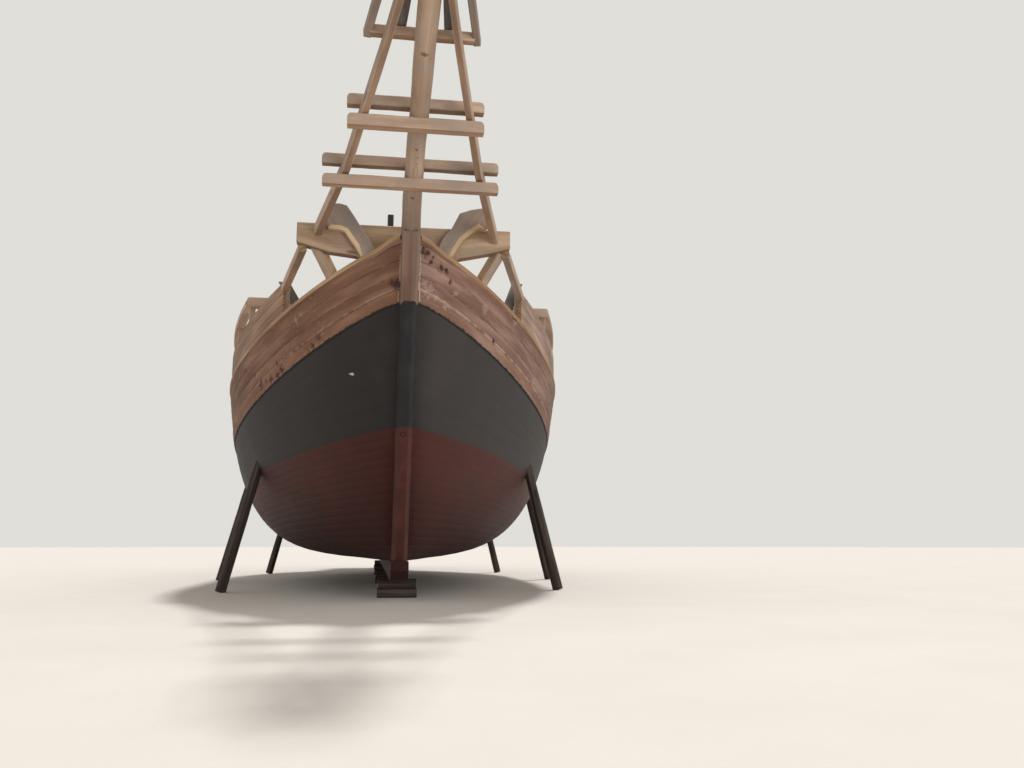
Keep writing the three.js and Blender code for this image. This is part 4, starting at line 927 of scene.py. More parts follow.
def post_shader(name, red_z, bare_z):
    """Red below the boot line, grey to the bare wood, and stained wood above."""
    t = wood(name, (98, 70, 60), (116, 88, 77), (128, 101, 90), knots=0.3, streaks=16.0)
    place = t.place()
    x, _, up = t.axes(place)
    z = t.math("MULTIPLY_ADD", t.noise(place, 9.0, 3.0, 0.6), 0.03, up)
    cloud = t.between(t.noise(place, 2.2, 4.0, 0.6), 0.4, 0.65)
    grey = t.mix(cloud, (32, 31, 34), (42, 40, 41))
    red = t.mix(cloud, (68, 34, 29), (82, 41, 34))
    painted = t.mix(t.between(z, red_z, red_z + 0.012), red, grey)
    off_ring = t.math("ABSOLUTE", t.minus(t.away_from(RING_MARK.at, place), RING_MARK.radius))
    ring = t.between(off_ring, RING_MARK.stroke, RING_MARK.stroke / 2)
    painted = t.tinge(painted, ring, 0.7, (24, 12, 10))
    bare = t.tinge(t.colour(), t.between(t.math("ABSOLUTE", x), 0.075, 0.1), 0.4, (140, 120, 102))
    # The port half of the bare wood is drawn lighter: painted light, for the brighter port side.
    bare = t.tinge(bare, t.between(x, 0.0, 0.05), 0.25, (140, 124, 114))
    t.set(Base_Color=t.mix(t.between(z, bare_z, bare_z + 0.012), painted, bare))
    return toned(t, Z_AXIS, 4.9, 5.15, 0.5, (120, 102, 90)).material


def mirrored(port, z):
    """A ring at a height, from the points [x, s] of its port half."""
    return [(x, s, z) for x, s in port] + [(-x, s, z) for x, s in port[::-1]]


def stem_ring(z):
    share = clamp01((z - STEM.narrow_z) / (STEM.wide_z - STEM.narrow_z))
    half = lerp(STEM.face_low, STEM.face_top, share) / 2
    s, c = stem_s(z), POST_CHAMFER
    front, back = s - STEM.depth, s + 0.06
    side = HULL.post_half
    port = [(side, back), (side - 0.001, s), (half + 0.002, front + 0.03), (half - c, front)]
    return mirrored(port, z)


def stern_ring(z):
    half, c = STERN_POST.face / 2, POST_CHAMFER
    front, back = stern_s(z) - 0.06, stern_s(z) + STERN_POST.depth
    port = [(HULL.post_half, front), (half, back - c), (half - c, back)]
    return mirrored(port, z)


post_wood = post_shader("painted and bare post", STEM_RED_Z, STEM_BARE_Z)
stem = ring_loft([stem_ring(z) for z in np.linspace(KEEL_TOP, STEM.top, 60)], [post_wood, heart], 3)
join_up(stem, "stem", "stained_wood", "stem_post")
print("stem face, low and high:", STEM.face_low, STEM.face_top)

# %% [markdown]
# ## Rails
# The cap rail follows the sheer and hides the planks' end grain. It is a strip whose section stays upright
# while its place follows the hull's plan, so a plain sweep would tilt it; instead each station gets its own
# outline from the offsets of the hull's plan.


# %% Strips that follow the plan
def plan_strip(side, line, out, inn, low, high, materials, span=(None, None), count=90, cut=0.012,
               number=0, shake=0.0015, pale_sides=()):
    """A strip of upright section from offset inn to out and height low(s) to high(s), from s to s of span."""
    start, end = span
    if start is None:
        shares = hull_stations(count)
    else:
        shares = np.linspace(share_at(line, start), share_at(line, end), count + 1)
    out = out(shares) if callable(out) else out
    ring = []
    for edge, inward, order in ((out, -cut, 1), (inn, cut, -1)):
        x, s = plan_point(line, shares, edge)
        corner_x, corner_s = plan_point(line, shares, edge + inward)
        bottom, top = low(s), high(s)
        ring += [(corner_x, corner_s, bottom), (x, s, bottom + cut), (x, s, top - cut),
                 (corner_x, corner_s, top)][::order]
    rings = np.stack([np.stack(p, -1) for p in ring], 1)
    for point in rings.reshape(-1, 3):
        point[2] += shake * noise.noise((Vector(point * 1.3) + Vector((number, 0, 0))) * 2)
    return ring_loft(rings * (side, 1, 1), materials, number, pale_sides=pale_sides)


# The rail's underside takes the darker raised-plank wood: painted shade, which keeps the rail's lit band
# thin.
RAIL_SHADED_UNDERSIDE = 7
RAIL_CLIMB = Sizes(rise=0.09, reach=0.25)


def over(line, rise):
    """The line, raised by a height."""
    return lambda s: line(s) + rise


def rail_top_z(s):
    """The sheer, with a short climb where the rail meets the stem."""
    return sheer_z(s) + RAIL_CLIMB.rise * clamp01(1 - s / RAIL_CLIMB.reach) ** 1.5


def rail_out(shares):
    """The rail stands out less and less abaft the head."""
    return RAIL.out * (1 - 0.8 * np.interp(shares, [0.03, 0.16, 0.8, 1.0], [0, 1, 1, 0]))


for label, side in SIDES:
    rail = plan_strip(side, sheer_z, rail_out, RAIL.out - RAIL.width,
                      over(rail_top_z, -RAIL.thick), rail_top_z, [cap_wood, heart, pale_stained],
                      count=140, number=100 + side, pale_sides=(RAIL_SHADED_UNDERSIDE,))
    join_up(rail, f"cap_rail_{label}", "fresh_wood", f"rail_{label}")
print("the rail stands out amidships by", round(float(rail_out(0.5)), 3))

# %% [markdown]
# ## Head timbers
# A long bowsprit, hewn to eight sides from one log, lies over the stem. A heavy beam crosses the rails
# behind it and carries two side spars, which lean in towards the bowsprit. Bars lie over and under the
# three, like the rungs of a ladder. The rows below hold sizes read off the picture.

# %% Bowsprit, spars and bars
BOWSPRIT = Sizes(at_stem=5.25, slope=0.275)
SPRIT_ROWS = [
    # x, s, radius to the corners: a natural log bends a little
    (0.0, 2.6, 0.138), (-0.006, -0.2, 0.133), (-0.024, -0.85, 0.127), (-0.022, -1.9, 0.118),
    (-0.012, -2.6, 0.117), (-0.012, -3.3, 0.119), (-0.004, -4.0, 0.12), (0.0, -5.2, 0.115),
]
SPAR_SHIFT = -0.035
SPAR_ROWS = [
    # x from the middle, s, z, width, height
    (1.31, 0.545, 5.395, 0.112, 0.16),
    (0.838, -1.4, 5.635, 0.095, 0.17),
    (0.388, -3.416, 6.189, 0.076, 0.17),
    (0.172, -4.45, 6.474, 0.07, 0.16),
]
SPAR_HALF = 0.085
CROSSBARS = [
    # name, s, from x, to x, height, depth, over (1) or under (-1) the spars
    ("crossbar_inner_lower", -1.291, -1.18, 1.069, 0.139, 0.14, -1),
    ("crossbar_inner_upper", -1.241, -1.193, 1.075, 0.138, 0.14, 1),
    ("crossbar_outer_lower", -2.378, -0.849, 0.748, 0.142, 0.15, -1),
    ("crossbar_outer_upper", -2.307, -0.861, 0.757, 0.134, 0.14, 1),
]
ACROSS_SHIP, ALONG_SHIP = (1, 0, 0), (0, 1, 0)
STARBOARD_FACE, PORT_FACE = 5, 1


def beam(rows, **settings):
    """A timber across the ship, with painted shade on its underside."""
    return timber(rows, across=ALONG_SHIP, upright=True, pale=brown_hewn, pale_sides=SHADED_UNDERSIDES, **settings)


def bowsprit_z(s):
    return BOWSPRIT.at_stem - BOWSPRIT.slope * s


def crossbar(s, x0, x1, tall, deep, over, seed, end_round=0.045):
    z = bowsprit_z(s) + over * (SPAR_HALF + tall / 2)
    rows = [(x0, s, z, deep, tall), (x1, s, z, deep, tall)]
    return beam(rows, cut=0.012, shake=0.005, seed=seed, end_round=end_round)


sprit_rows = [(x, s, bowsprit_z(s), radius) for x, s, radius in SPRIT_ROWS]
join_up(log_piece(sprit_rows, seed=11, flat=0.75, shake=0.005, material=sprit_wood), "bowsprit_log",
        "weathered_wood", "bowsprit")
for label, side in SIDES:
    rows = [(side * x + SPAR_SHIFT, s, z, wide, tall) for x, s, z, wide, tall in SPAR_ROWS]
    # The spar's underside takes the darker wood: painted shade.
    spar = timber(rows, cut=0.01, seed=13 + side, across=ACROSS_SHIP, upright=True,
                  pale=brown_hewn, pale_sides=SHADED_UNDERSIDES)
    join_up(spar, f"spar_{label}", "weathered_wood", f"side_spar_{label}")
for seed, (name, *sizes) in enumerate(CROSSBARS):
    join_up(crossbar(*sizes, seed=20 + seed), f"{name}_bar", "weathered_wood", name)
print("bowsprit and", len(CROSSBARS), "bars")

# %% [markdown]
# ## Slabs
# A knee is cut from a crook, a branch that already bends. A swept section cannot make its shoulder; a slab,
# an outline with a thickness, can. The outline is walked in short steps, each point is shaken a little, and
# both faces are drawn slightly smaller, which breaks the edges.


# %% Slabs
def slab_place(flat, depth, axis):
    """Points [x, s, z] of a flat outline at a depth along an axis."""
    return np.insert(flat, "xsz".index(axis), depth, axis=1)


def walked(outline, step):
    """The outline in short steps, and the corner that each point comes after."""
    outline = np.asarray(outline, float)
    points, owners = [], []
    for k, (a, b) in enumerate(zip(outline, np.roll(outline, -1, 0))):
        parts = max(1, int(np.linalg.norm(b - a) / step))
        points += [lerp(a, b, j / parts) for j in range(parts)]
        owners += [k] * parts
    return np.array(points), owners


def slab(outline, low, high, axis, material=None, cut=0.012, grain=(1, 0), number=0.0, shake=0.003,
         step=0.1, pale=None, pale_edges=(), pale_cut=0.03):
    """A plate of an outline, from low to high on an axis; pale_edges get a wider cut and the pale wood."""
    flat, owners = walked(outline, step)
    for k, point in enumerate(flat):
        flat[k] += [shake * noise.noise(Vector((*point * 4, number + turn))) for turn in (0.0, 9.0)]
    x, y = flat.T
    area = np.sum(x * np.roll(y, -1) - np.roll(x, -1) * y)
    tangent = np.roll(flat, -1, 0) - np.roll(flat, 1, 0)
    tangent /= np.linalg.norm(tangent, axis=-1, keepdims=True)
    out = np.stack([tangent[:, 1], -tangent[:, 0]], -1) * np.sign(area)
    cuts = np.array([pale_cut if k in pale_edges else cut for k in owners])[:, None]
    inner = flat - out * cuts
    rings = [(inner, low), (flat, low + cut), (flat, high - cut), (inner, high)]
    points = np.concatenate([slab_place(f, depth, axis) for f, depth in rings])
    across, middle = len(flat), flat.mean(0)
    grain = np.array(grain, float) / np.linalg.norm(grain)
    beside = np.array([-grain[1], grain[0]])
    reach = max(0.9, np.ptp(flat @ beside))

    def spot(index, on_face):
        p = rings[index // across][0][index % across]
        lift = (p - middle) @ beside / reach if on_face else 0.3 + rings[index // across][1] - low
        return (p @ grain, number + 0.5 + lift * 0.9)

    faces, uvs = skin_faces(4, across, lambda i, a: [spot((i + p) * across + (a + q) % across, False)
                                                     for p, q in QUAD])
    for cap in end_faces(4, across):
        faces.append(cap)
        uvs += [spot(index, True) for index in cap]
    faces, uvs = facing_out(points, faces, uvs)
    materials = [material or hewn, heart] + ([pale] if pale else [])
    piece = mesh_piece(points, faces, uvs, materials)
    for i in range(3):
        for a in range(across):
            if owners[a] in pale_edges:
                piece.data.polygons[i * across + a].material_index = 2
    for cap in (-2, -1):
        piece.data.polygons[cap].use_smooth = False
    return sharpened(piece, 30)


print("steps round a square metre:", len(walked([(0, 0), (1, 0), (1, 1), (0, 1)], 0.1)[0]))

# %% Head beam, knees and struts
HEAD_BEAM = Sizes(front=0.5, back=0.7, top=5.515)
BEAM_TOP = [(-1.35, 5.515), (1.505, 5.54)]
BEAM_UNDERSIDE = [
    # x, z
    (-1.635, 5.215), (-1.16, 5.085), (-0.78, 5.045), (-0.7, 4.992), (0.66, 4.992), (0.74, 5.075),
    (1.225, 5.18), (1.505, 5.262),
]
KNEE_FRONT, KNEE_FOOT = 0.38, 5.0
KNEE_CROOKS = {
    # x from the middle, z: up from the foot on the rail, over the shoulder, and back along the hollow
    "port": [(0.355, KNEE_FOOT), (0.399, 5.146), (0.485, 5.334), (0.616, 5.497), (0.733, 5.736), (0.9, 5.8),
             (1.062, 5.834), (1.15, 5.79), (1.185, 5.65), (1.13, 5.485), (1.033, 5.525), (0.9, 5.43),
             (0.781, 5.319), (0.69, 5.17), (0.621, 5.05), (0.597, KNEE_FOOT)],
    "starboard": [(0.445, KNEE_FOOT), (0.487, 5.101), (0.6, 5.28), (0.728, 5.469), (0.83, 5.63),
                  (0.924, 5.764), (1.03, 5.79), (1.111, 5.784), (1.205, 5.7), (1.245, 5.56), (1.18, 5.405),
                  (1.0, 5.392), (0.94, 5.366), (0.86, 5.25), (0.775, 5.131), (0.691, KNEE_FOOT)],
}
HOLLOW_EDGES = {"port": (9, 10, 11, 12, 13, 14), "starboard": (10, 11, 12, 13, 14)}
STRUT = Sizes(head=(1.37, 0.6, 5.25), foot=(1.125, 1.09, 4.865), wide=0.15, tall=0.17)
HEAD_RAIL = Sizes(from_x={"port": 1.44, "starboard": 1.545}, from_s=0.56, size=0.12, bite=0.012, drop=0.12)
RAISED = Sizes(start=2.35, end=18.7, top=0.57, thick=0.06, out=-0.02)


def underside_z(x):
    return float(np.interp(x, *zip(*BEAM_UNDERSIDE)))


beam_rows = []
for x, z in BEAM_UNDERSIDE:
    top = float(np.interp(x, *zip(*BEAM_TOP)))
    beam_rows.append((x, (HEAD_BEAM.front + HEAD_BEAM.back) / 2, (top + z) / 2,
                      HEAD_BEAM.back - HEAD_BEAM.front, top - z))
head_beam = beam(beam_rows, cut=0.016, shake=0.005, seed=31, material=beam_wood)
join_up(head_beam, "head_beam_log", "weathered_wood", "head_beam")
for label, side in SIDES:
    crook = [(side * x, z) for x, z in KNEE_CROOKS[label]]
    # The hollow of each knee gets a wider cut and the fresh wood: freshly sawn wood, and also a painted
    # highlight on faces that turn down towards the lit floor.
    knee = slab(crook, KNEE_FRONT, HEAD_BEAM.front, "s", grain=(side * 0.6, 0.8), number=33 + side,
                material=grey_hewn, pale=fresh, pale_edges=HOLLOW_EDGES[label], pale_cut=0.06)
    join_up(knee, f"knee_{label}", "weathered_wood", f"horn_knee_{label}")
    head, foot = [(side * x, s, z) for x, s, z in (STRUT.head, STRUT.foot)]
    strut = stick(foot, head, STRUT.wide, STRUT.tall, seed=36 + side, pale=fresh,
                  pale_sides=(PORT_FACE if side > 0 else STARBOARD_FACE,))
    join_up(strut, f"strut_{label}", "weathered_wood", f"beam_strut_{label}")
    end_x, end_s = plan_point(sheer_z, share_at(sheer_z, RAISED.start), RAISED.out - 0.03)
    from_x, half = side * HEAD_RAIL.from_x[label], HEAD_RAIL.size / 2
    start = (from_x, HEAD_RAIL.from_s, underside_z(from_x) - half + HEAD_RAIL.bite)
    end = (side * end_x, end_s - 0.06, sheer_z(RAISED.start) + RAISED.top - HEAD_RAIL.drop)
    # The head rail's underside takes darker wood: painted shade, less dark on the port side.
    head_rail = stick(start, end, 2 * half, 2 * half, seed=40 + side,
                      pale=grey_hewn if side > 0 else brown_hewn, pale_sides=SHADED_UNDERSIDES)
    join_up(head_rail, f"head_rail_{label}_bar", "weathered_wood", f"head_rail_{label}")
print("head beam top:", HEAD_BEAM.top)

# %% [markdown]
# ## Lookout platform
# The headsails are handled from far out on the bowsprit, on boards between two beams, with a rail each side.
# The pieces are separate sticks, joined to one object because they move together.

# %% Platform
PLATFORM_BEAMS = [
    # s, half length, height, depth
    (-3.37, 0.56, 0.107, 0.12),
    (-4.62, 0.335, 0.104, 0.12),
]
PLATFORM_RUNS = [
    # x and s at the inner end, x at the outer end, width, thickness, height over the seat, shift, wood
    (0.258, -3.4, 0.126, 0.112, 0.034, 0.12, 0.025, weathered),
    (0.598, -3.32, 0.283, 0.078, 0.107, 0.054, 0.002, grey_hewn),
]
PLATFORM_OUTER_S, PLATFORM_SHIFT = -4.73, -0.039


def seat_z(s):
    return bowsprit_z(s) + SPAR_HALF


platform_sticks = []
for k, (s, half, tall, deep) in enumerate(PLATFORM_BEAMS):
    z = seat_z(s) + tall / 2
    rows = [(PLATFORM_SHIFT - half, s, z, deep, tall), (PLATFORM_SHIFT + half, s, z, deep, tall)]
    platform_sticks.append(beam(rows, seed=50 + k, end_round=0.03))
for x0, inner_s, x1, wide, thick, lift, shift, material in PLATFORM_RUNS:
    for _, side in SIDES:
        start = (side * x0 + shift + PLATFORM_SHIFT, inner_s, seat_z(inner_s) + lift)
        end = (side * x1 + shift + PLATFORM_SHIFT, PLATFORM_OUTER_S, seat_z(PLATFORM_OUTER_S) + lift)
        platform_sticks.append(stick(start, end, wide, thick, cut=0.008,
                                     shake=0.003, seed=54 + side + 10 * wide, material=material))
join_up(merged(platform_sticks), "platform", "weathered_wood", "bowsprit_platform")
print("platform sticks:", len(platform_sticks))

# %% [markdown]
# ## Growing pieces from lines and points
# Decks, hatches and floors are many boards of one section, and posts, ribs and pegs are one shape set out
# many times. Geometry Nodes do both from a rule: the script gives lines or points with a few numbers on
# them, and the tree sweeps or places the shape. The result is kept as a plain mesh, so that it can be
# joined up.


# %% Node trees for boards and for things set out
class Grower(NodeNet):
    """A Geometry Nodes tree with named inputs; its modifier is applied by grown()."""

    def __init__(self, name, **sizes):
        self.group = bpy.data.node_groups.new(name, "GeometryNodeTree")
        super().__init__(self.group)
        face = self.group.interface
        face.new_socket("Geometry", in_out="OUTPUT", socket_type="NodeSocketGeometry")
        face.new_socket("Geometry", in_out="INPUT", socket_type="NodeSocketGeometry")
        for key, kind in sizes.items():
            face.new_socket(key, in_out="INPUT", socket_type="NodeSocket" + kind)
        self.given = {socket.name: socket for socket in self.made("NodeGroupInput", {}) if socket.name}

    def geo(self, kind, inputs, out=0, **settings):
        return self.node("GeometryNode" + kind, inputs, out, **settings)

    def attribute(self, name, kind="FLOAT"):
        return self.geo("InputNamedAttribute", {"Name": name}, data_type=kind)

    def kept_length(self, geometry):
        """The geometry with each point's length along its curve kept, and that length."""
        made = self.tree.nodes.new("GeometryNodeCaptureAttribute")
        made.capture_items.new("FLOAT", "Along")
        self.put(made.inputs["Geometry"], geometry)
        self.put(made.inputs["Along"], self.geo("SplineParameter", {}, out=1))
        return made.outputs["Geometry"], made.outputs["Along"]

    def finish(self, geometry):
        real = self.geo("RealizeInstances", {"Geometry": geometry})
        painted = self.geo("SetMaterial", {"Geometry": real, "Material": self.given["Material"]})
        self.put(self.tree.nodes.new("NodeGroupOutput").inputs[0], painted)
        return self.group


def boards_tree():
    """Every line becomes a board; its length along and round the section is kept as the board map."""
    t = Grower("boards on lines", Width="Float", Thickness="Float", Edge="Float", Material="Material")
    lines = t.geo("MeshToCurve", {"Mesh": t.given["Geometry"]})
    lines = t.geo("SetCurveNormal", {"Curve": lines}, mode="Z_UP")
    lines, along = t.kept_length(lines)
    box = {"Width": t.given["Width"], "Height": t.given["Thickness"]}
    section = t.geo("CurvePrimitiveQuadrilateral", box)
    section = t.geo("FilletCurve", {"Curve": section, "Count": 1, "Radius": t.given["Edge"]}, mode="POLY")
    section, round_it = t.kept_length(section)
    boards = t.geo("CurveToMesh", {"Curve": lines, "Profile Curve": section, "Fill Caps": True})
    half_round = t.math("ADD", t.given["Width"], t.given["Thickness"])
    beside = t.times(t.minus(round_it, half_round), 0.9)
    number = t.math("ADD", t.attribute("number"), 0.5)
    spot = t.node("ShaderNodeCombineXYZ", {0: along, 1: t.math("ADD", number, beside)})
    named = {"Geometry": boards, "Name": BOARD_UV, 3: spot}
    boards = t.geo("StoreNamedAttribute", named, data_type="FLOAT2", domain="CORNER")
    boards = t.geo("SetShadeSmooth", {"Geometry": boards, "Shade Smooth": False})
    return t.finish(boards)


def set_out_tree():
    """A shape on every point, turned to its rise and facing, and scaled by its size and a little chance."""
    t = Grower("set out", Shape="Object", Least="Float", Most="Float", Seed="Int", Material="Material")
    shape = t.geo("ObjectInfo", {"Object": t.given["Shape"], "As Instance": True}, out=4)
    rise, facing, size = (t.attribute(name, "FLOAT_VECTOR") for name in ("rise", "facing", "size"))
    lean = t.node("FunctionNodeAxesToRotation", {"Primary Axis": rise, "Secondary Axis": facing})
    limits = {2: t.given["Least"], 3: t.given["Most"], 8: t.given["Seed"]}
    chance = t.node("FunctionNodeRandomValue", limits, out=1)
    scale = t.node("ShaderNodeVectorMath", {0: size, "Scale": chance}, operation="SCALE")
    spots = {"Points": t.given["Geometry"], "Instance": shape, "Rotation": lean, "Scale": scale}
    return t.finish(t.geo("InstanceOnPoints", spots))


BOARDS_ON_LINES, SET_OUT = boards_tree(), set_out_tree()
print("node trees:", BOARDS_ON_LINES.name, "and", SET_OUT.name)


# %% Boards, and things set out
def grown(group, points, edges, numbers, **settings):
    """Runs a node tree on points [x, s, z] and keeps the result as a plain mesh."""
    seeds = bpy.data.meshes.new("seeds")
    seeds.from_pydata((np.asarray(points, float) + (0.0, STEM_HEAD_Y, 0.0)).tolist(), edges, [])
    for key, values in numbers.items():
        values = np.asarray(values, np.float32)
        kind, field = ("FLOAT", "value") if values.ndim == 1 else ("FLOAT_VECTOR", "vector")
        seeds.attributes.new(key, kind, "POINT").data.foreach_set(field, values.ravel())
    piece = placed(seeds)
    modifier = piece.modifiers.new("grow", "NODES")
    modifier.node_group = group
    for socket in group.interface.items_tree:
        if socket.in_out == "INPUT" and socket.name in settings:
            modifier[socket.identifier] = settings[socket.name]
    evaluated = piece.evaluated_get(bpy.context.evaluated_depsgraph_get())
    mesh = bpy.data.meshes.new_from_object(evaluated)
    piece.modifiers.clear()
    piece.data = mesh
    return piece


def boards(lines, wide, thick, material, edge=0.004, first=0):
    """Boards on lines, each a list of [x, s, z]; wide lies level across the line and thick is upright."""
    points, edges, number = [], [], []
    for k, line in enumerate(lines):
        start = len(points)
        points += [tuple(p) for p in line]
        edges += [(start + j, start + j + 1) for j in range(len(line) - 1)]
        number += [first + k] * len(line)
    return grown(BOARDS_ON_LINES, points, edges, {"number": number}, Width=wide, Thickness=thick,
                 Edge=edge, Material=material)


def set_out(shape, rows, material, least=1.0, most=1.0, seed=1):
    """A shape on each row's point, with the row's rise, facing and size."""
    points, *numbers = zip(*rows)
    return grown(SET_OUT, points, [], dict(zip(("rise", "facing", "size"), numbers)), Shape=shape,
                 Least=least, Most=most, Seed=seed, Material=material)


def outward(row_z, u, side, off):
    """The level direction out of the planking, at a share of the hull's length."""
    near, far = (np.array(plan_point(row_z, u, d)) for d in (off, off + 0.1))
    x, s = (far - near) * 10
    return side * x, s, 0.0


print("out of the planking near the bow:", np.round(outward(sheer_z, 0.02, 1, 0.0), 2))

# %% [markdown]
# ## Raised bulwarks and upper rails
# Over the low rail stands a second run of planking, on posts that go on up to a hand rail, with a crossbeam
# at each end. The planks are strips of the hull's plan; the posts are one shape set out.

# %% Raised bulwarks
POST = Sizes(size=0.1, centre=-0.13, foot=-0.04, first=2.47, second=3.35, start=4.32, pitch=1.43, count=11)
UPPER = Sizes(low=0.99, high=1.09, out=-0.025, width=0.17)
CROSSBEAM = Sizes(half=2.81, low=0.93, high=1.1, deep=0.24, fore=4.2, aft=18.48, shorter_aft=0.33)
RAISED_BOUNDS = [-0.03, 0.185, 0.38, 0.57]
RAISED_SEAM = 0.004
RAISED_WOODS = {"port": port_lit_raised, "starboard": pale_stained}
BOW_BOARD = Sizes(s=2.62, wide=0.19, thick=0.05, low=4.5, foot={"port": 1.64, "starboard": -1.6},
                 head={"port": (1.95, 5.34), "starboard": (-2.0, 5.2)})


def post_shape():
    """A post of one metre each way, standing on its base, with its edges broken."""
    return stick((0, -STEM_HEAD_Y, 0), (0, -STEM_HEAD_Y, 1), 1, 1, cut=0.09, shake=0.0, step=0.5,
                 across=ALONG_SHIP)


def post_rows(side, places, tops):
    """Foot, rise, facing and size of posts at distances aft, up to tops over the sheer."""
    rows = []
    for place, top in zip(places, tops):
        u = share_at(sheer_z, place)
        x, s = plan_point(sheer_z, u, POST.centre)
        rows.append(((side * x, s, sheer_z(s) + POST.foot), (0, 0, 1), outward(sheer_z, u, side, POST.centre),
                     (POST.size, POST.size, top - POST.foot)))
    return rows


unit_post = post_shape()
tall_places = [POST.start + i * POST.pitch for i in range(POST.count)]
for label, side in SIDES:
    runs = []
    for k in range(3):
        low, high = RAISED_BOUNDS[k] + RAISED_SEAM, RAISED_BOUNDS[k + 1] - (RAISED_SEAM if k < 2 else 0)
        runs.append(plan_strip(side, sheer_z, RAISED.out, RAISED.out - RAISED.thick,
                               over(sheer_z, low), over(sheer_z, high),
                               [RAISED_WOODS[label], heart], span=(RAISED.start, RAISED.end), count=60,
                               number=110 + k + 5 * side, cut=0.008))
    join_up(merged(runs), f"raised_planks_{label}", "stained_wood", f"raised_bulwark_{label}")
    places = [POST.first, POST.second] + tall_places
    tops = [RAISED.top - 0.01] * 2 + [UPPER.low + 0.02] * POST.count
    posts = set_out(unit_post, post_rows(side, places, tops), hewn, seed=5)
    join_up(posts, f"raised_posts_{label}", "stained_wood")
    head_x, head_z = BOW_BOARD.head[label]
    board = stick((BOW_BOARD.foot[label], BOW_BOARD.s, BOW_BOARD.low), (head_x, BOW_BOARD.s, head_z),
                  BOW_BOARD.wide, BOW_BOARD.thick, cut=0.006, across=ACROSS_SHIP, material=weathered)
    join_up(board, f"bow_board_{label}", "weathered_wood")
    upper = plan_strip(side, sheer_z, UPPER.out, UPPER.out - UPPER.width,
                       over(sheer_z, UPPER.low), over(sheer_z, UPPER.high), [hewn, heart],
                       span=(CROSSBEAM.fore + 0.18, CROSSBEAM.aft + 0.06), count=60, number=120 + side)
    join_up(upper, f"upper_rail_{label}_strip", "weathered_wood", f"upper_rail_{label}")

for name, s, half in (("fore_crossbeam", CROSSBEAM.fore, CROSSBEAM.half),
                      ("aft_crossbeam", CROSSBEAM.aft, CROSSBEAM.half - CROSSBEAM.shorter_aft)):
    middle = s + CROSSBEAM.deep / 2
    tall = CROSSBEAM.high - CROSSBEAM.low
    z = sheer_z(middle) + CROSSBEAM.low + tall / 2
    rows = [(-half, middle, z, CROSSBEAM.deep, tall), (half, middle, z, CROSSBEAM.deep, tall)]
    join_up(timber(rows, seed=60, end_round=0.04, across=ALONG_SHIP, upright=True), f"{name}_log",
            "weathered_wood", name)
print("posts a side:", len(places))

# %% [markdown]
# ## Ribs inside the bulwarks
# The frames of the hull run up behind the bulwark planking and carry the rail. From the deck they are a row
# of stout posts, close together. One post is set out along the plan, leaning with the planking.

# %% Ribs
RIB = Sizes(start=1.5, pitch=0.56, count=34, along=0.11, skin=0.05, thick=0.11)


def rib_rows(side):
    """Foot, rise, facing and size of each rib."""
    rows = []
    for i in range(RIB.count):
        place = RIB.start + i * RIB.pitch
        ends = []
        for row_z in (deck_line_z, under_rail_z):
            x, s = plan_point(row_z, share_at(row_z, place), -(RIB.skin + RIB.thick) / 2)
            ends.append(np.array([side * x, s, row_z(place)], float))
        tall = np.linalg.norm(ends[1] - ends[0])
        facing = outward(deck_line_z, share_at(deck_line_z, place), side, -0.2)
        rows.append((ends[0], (ends[1] - ends[0]) / tall, facing, (RIB.along, RIB.thick - RIB.skin, tall)))
    return rows


for label, side in SIDES:
    join_up(set_out(unit_post, rib_rows(side), pale_stained, seed=9), f"ribs_{label}", "stained_wood")
print("ribs a side:", RIB.count)

# %% [markdown]
# ## Deck
# The deck is laid in narrow planks fore and aft, inside a wide margin plank that follows the bulwark.
# Boards from lines suit it: each plank's line starts and ends where the margin's curve crosses it, so the
# ends tuck under.

# %% Deck planks
DECK = Sizes(plank=0.15, pitch=0.155, inset=0.135, margin=0.22, tuck=0.004, step=0.7)


def deck_half(inset):
    """The deck's half width against distance aft, at an inset from the planking."""
    x, s = plan_point(deck_line_z, hull_stations(240), -inset)
    return lambda place: np.interp(place, s, x, left=0.0, right=0.0)


def deck_top_z(s):
    return float(deck_line_z(s)) + DECK_THICK


deck_lines = []
margin_half = deck_half(DECK.inset + DECK.margin)
fine_s = np.linspace(0.3, 21.3, 1200)
for k in range(-22, 23):
    x = k * DECK.pitch
    inside = fine_s[margin_half(fine_s) > abs(x) - DECK.plank / 2]
    if len(inside) < 60:
        continue
    at = np.linspace(inside[0], inside[-1], int((inside[-1] - inside[0]) / DECK.step) + 2)
    deck_lines.append([(x, s, deck_line_z(s) + (DECK_THICK - DECK.tuck) / 2) for s in at])
planks = boards(deck_lines, DECK.plank, DECK_THICK - DECK.tuck, deck_wood, first=200)
join_up(planks, "deck_planks", "deck_wood", "main_deck")
for label, side in SIDES:
    margin = plan_strip(side, deck_line_z, -DECK.inset, -DECK.inset - DECK.margin,
                        deck_line_z, over(deck_line_z, DECK_THICK), [deck_wood, heart], count=100,
                        number=260 + side, cut=0.006, shake=0.0)
    join_up(margin, f"deck_margin_{label}", "deck_wood")
print("deck planks:", len(deck_lines))

# %% [markdown]
# ## Deck fittings
# Mast partners, the hatch with its boards, the samson post and the bowsprit's bitts stand on the deck. Each
# is a few squared timbers, so sticks between two points make them, and the hatch boards are lines again.

# %% Partners, hatch, posts and bitts
PARTNER_PLACES = (("fore_mast_partner", 5.6), ("main_mast_partner", 12.2))
PARTNER = Sizes(size=0.76, height=0.15, boards=5)
HATCH = Sizes(start=7.2, end=9.8, half=1.0, wall=0.09, top=3.26, board=0.05, inset=0.02, boards=13)
SAMSON = Sizes(x=-0.28, s=0.895, size=0.09, top=5.83)
BITT = Sizes(x=0.255, s=2.355, size=0.15, top=4.9)
BITT_CROSS = Sizes(half=0.42, low=4.33, high=4.54, thick=0.14)


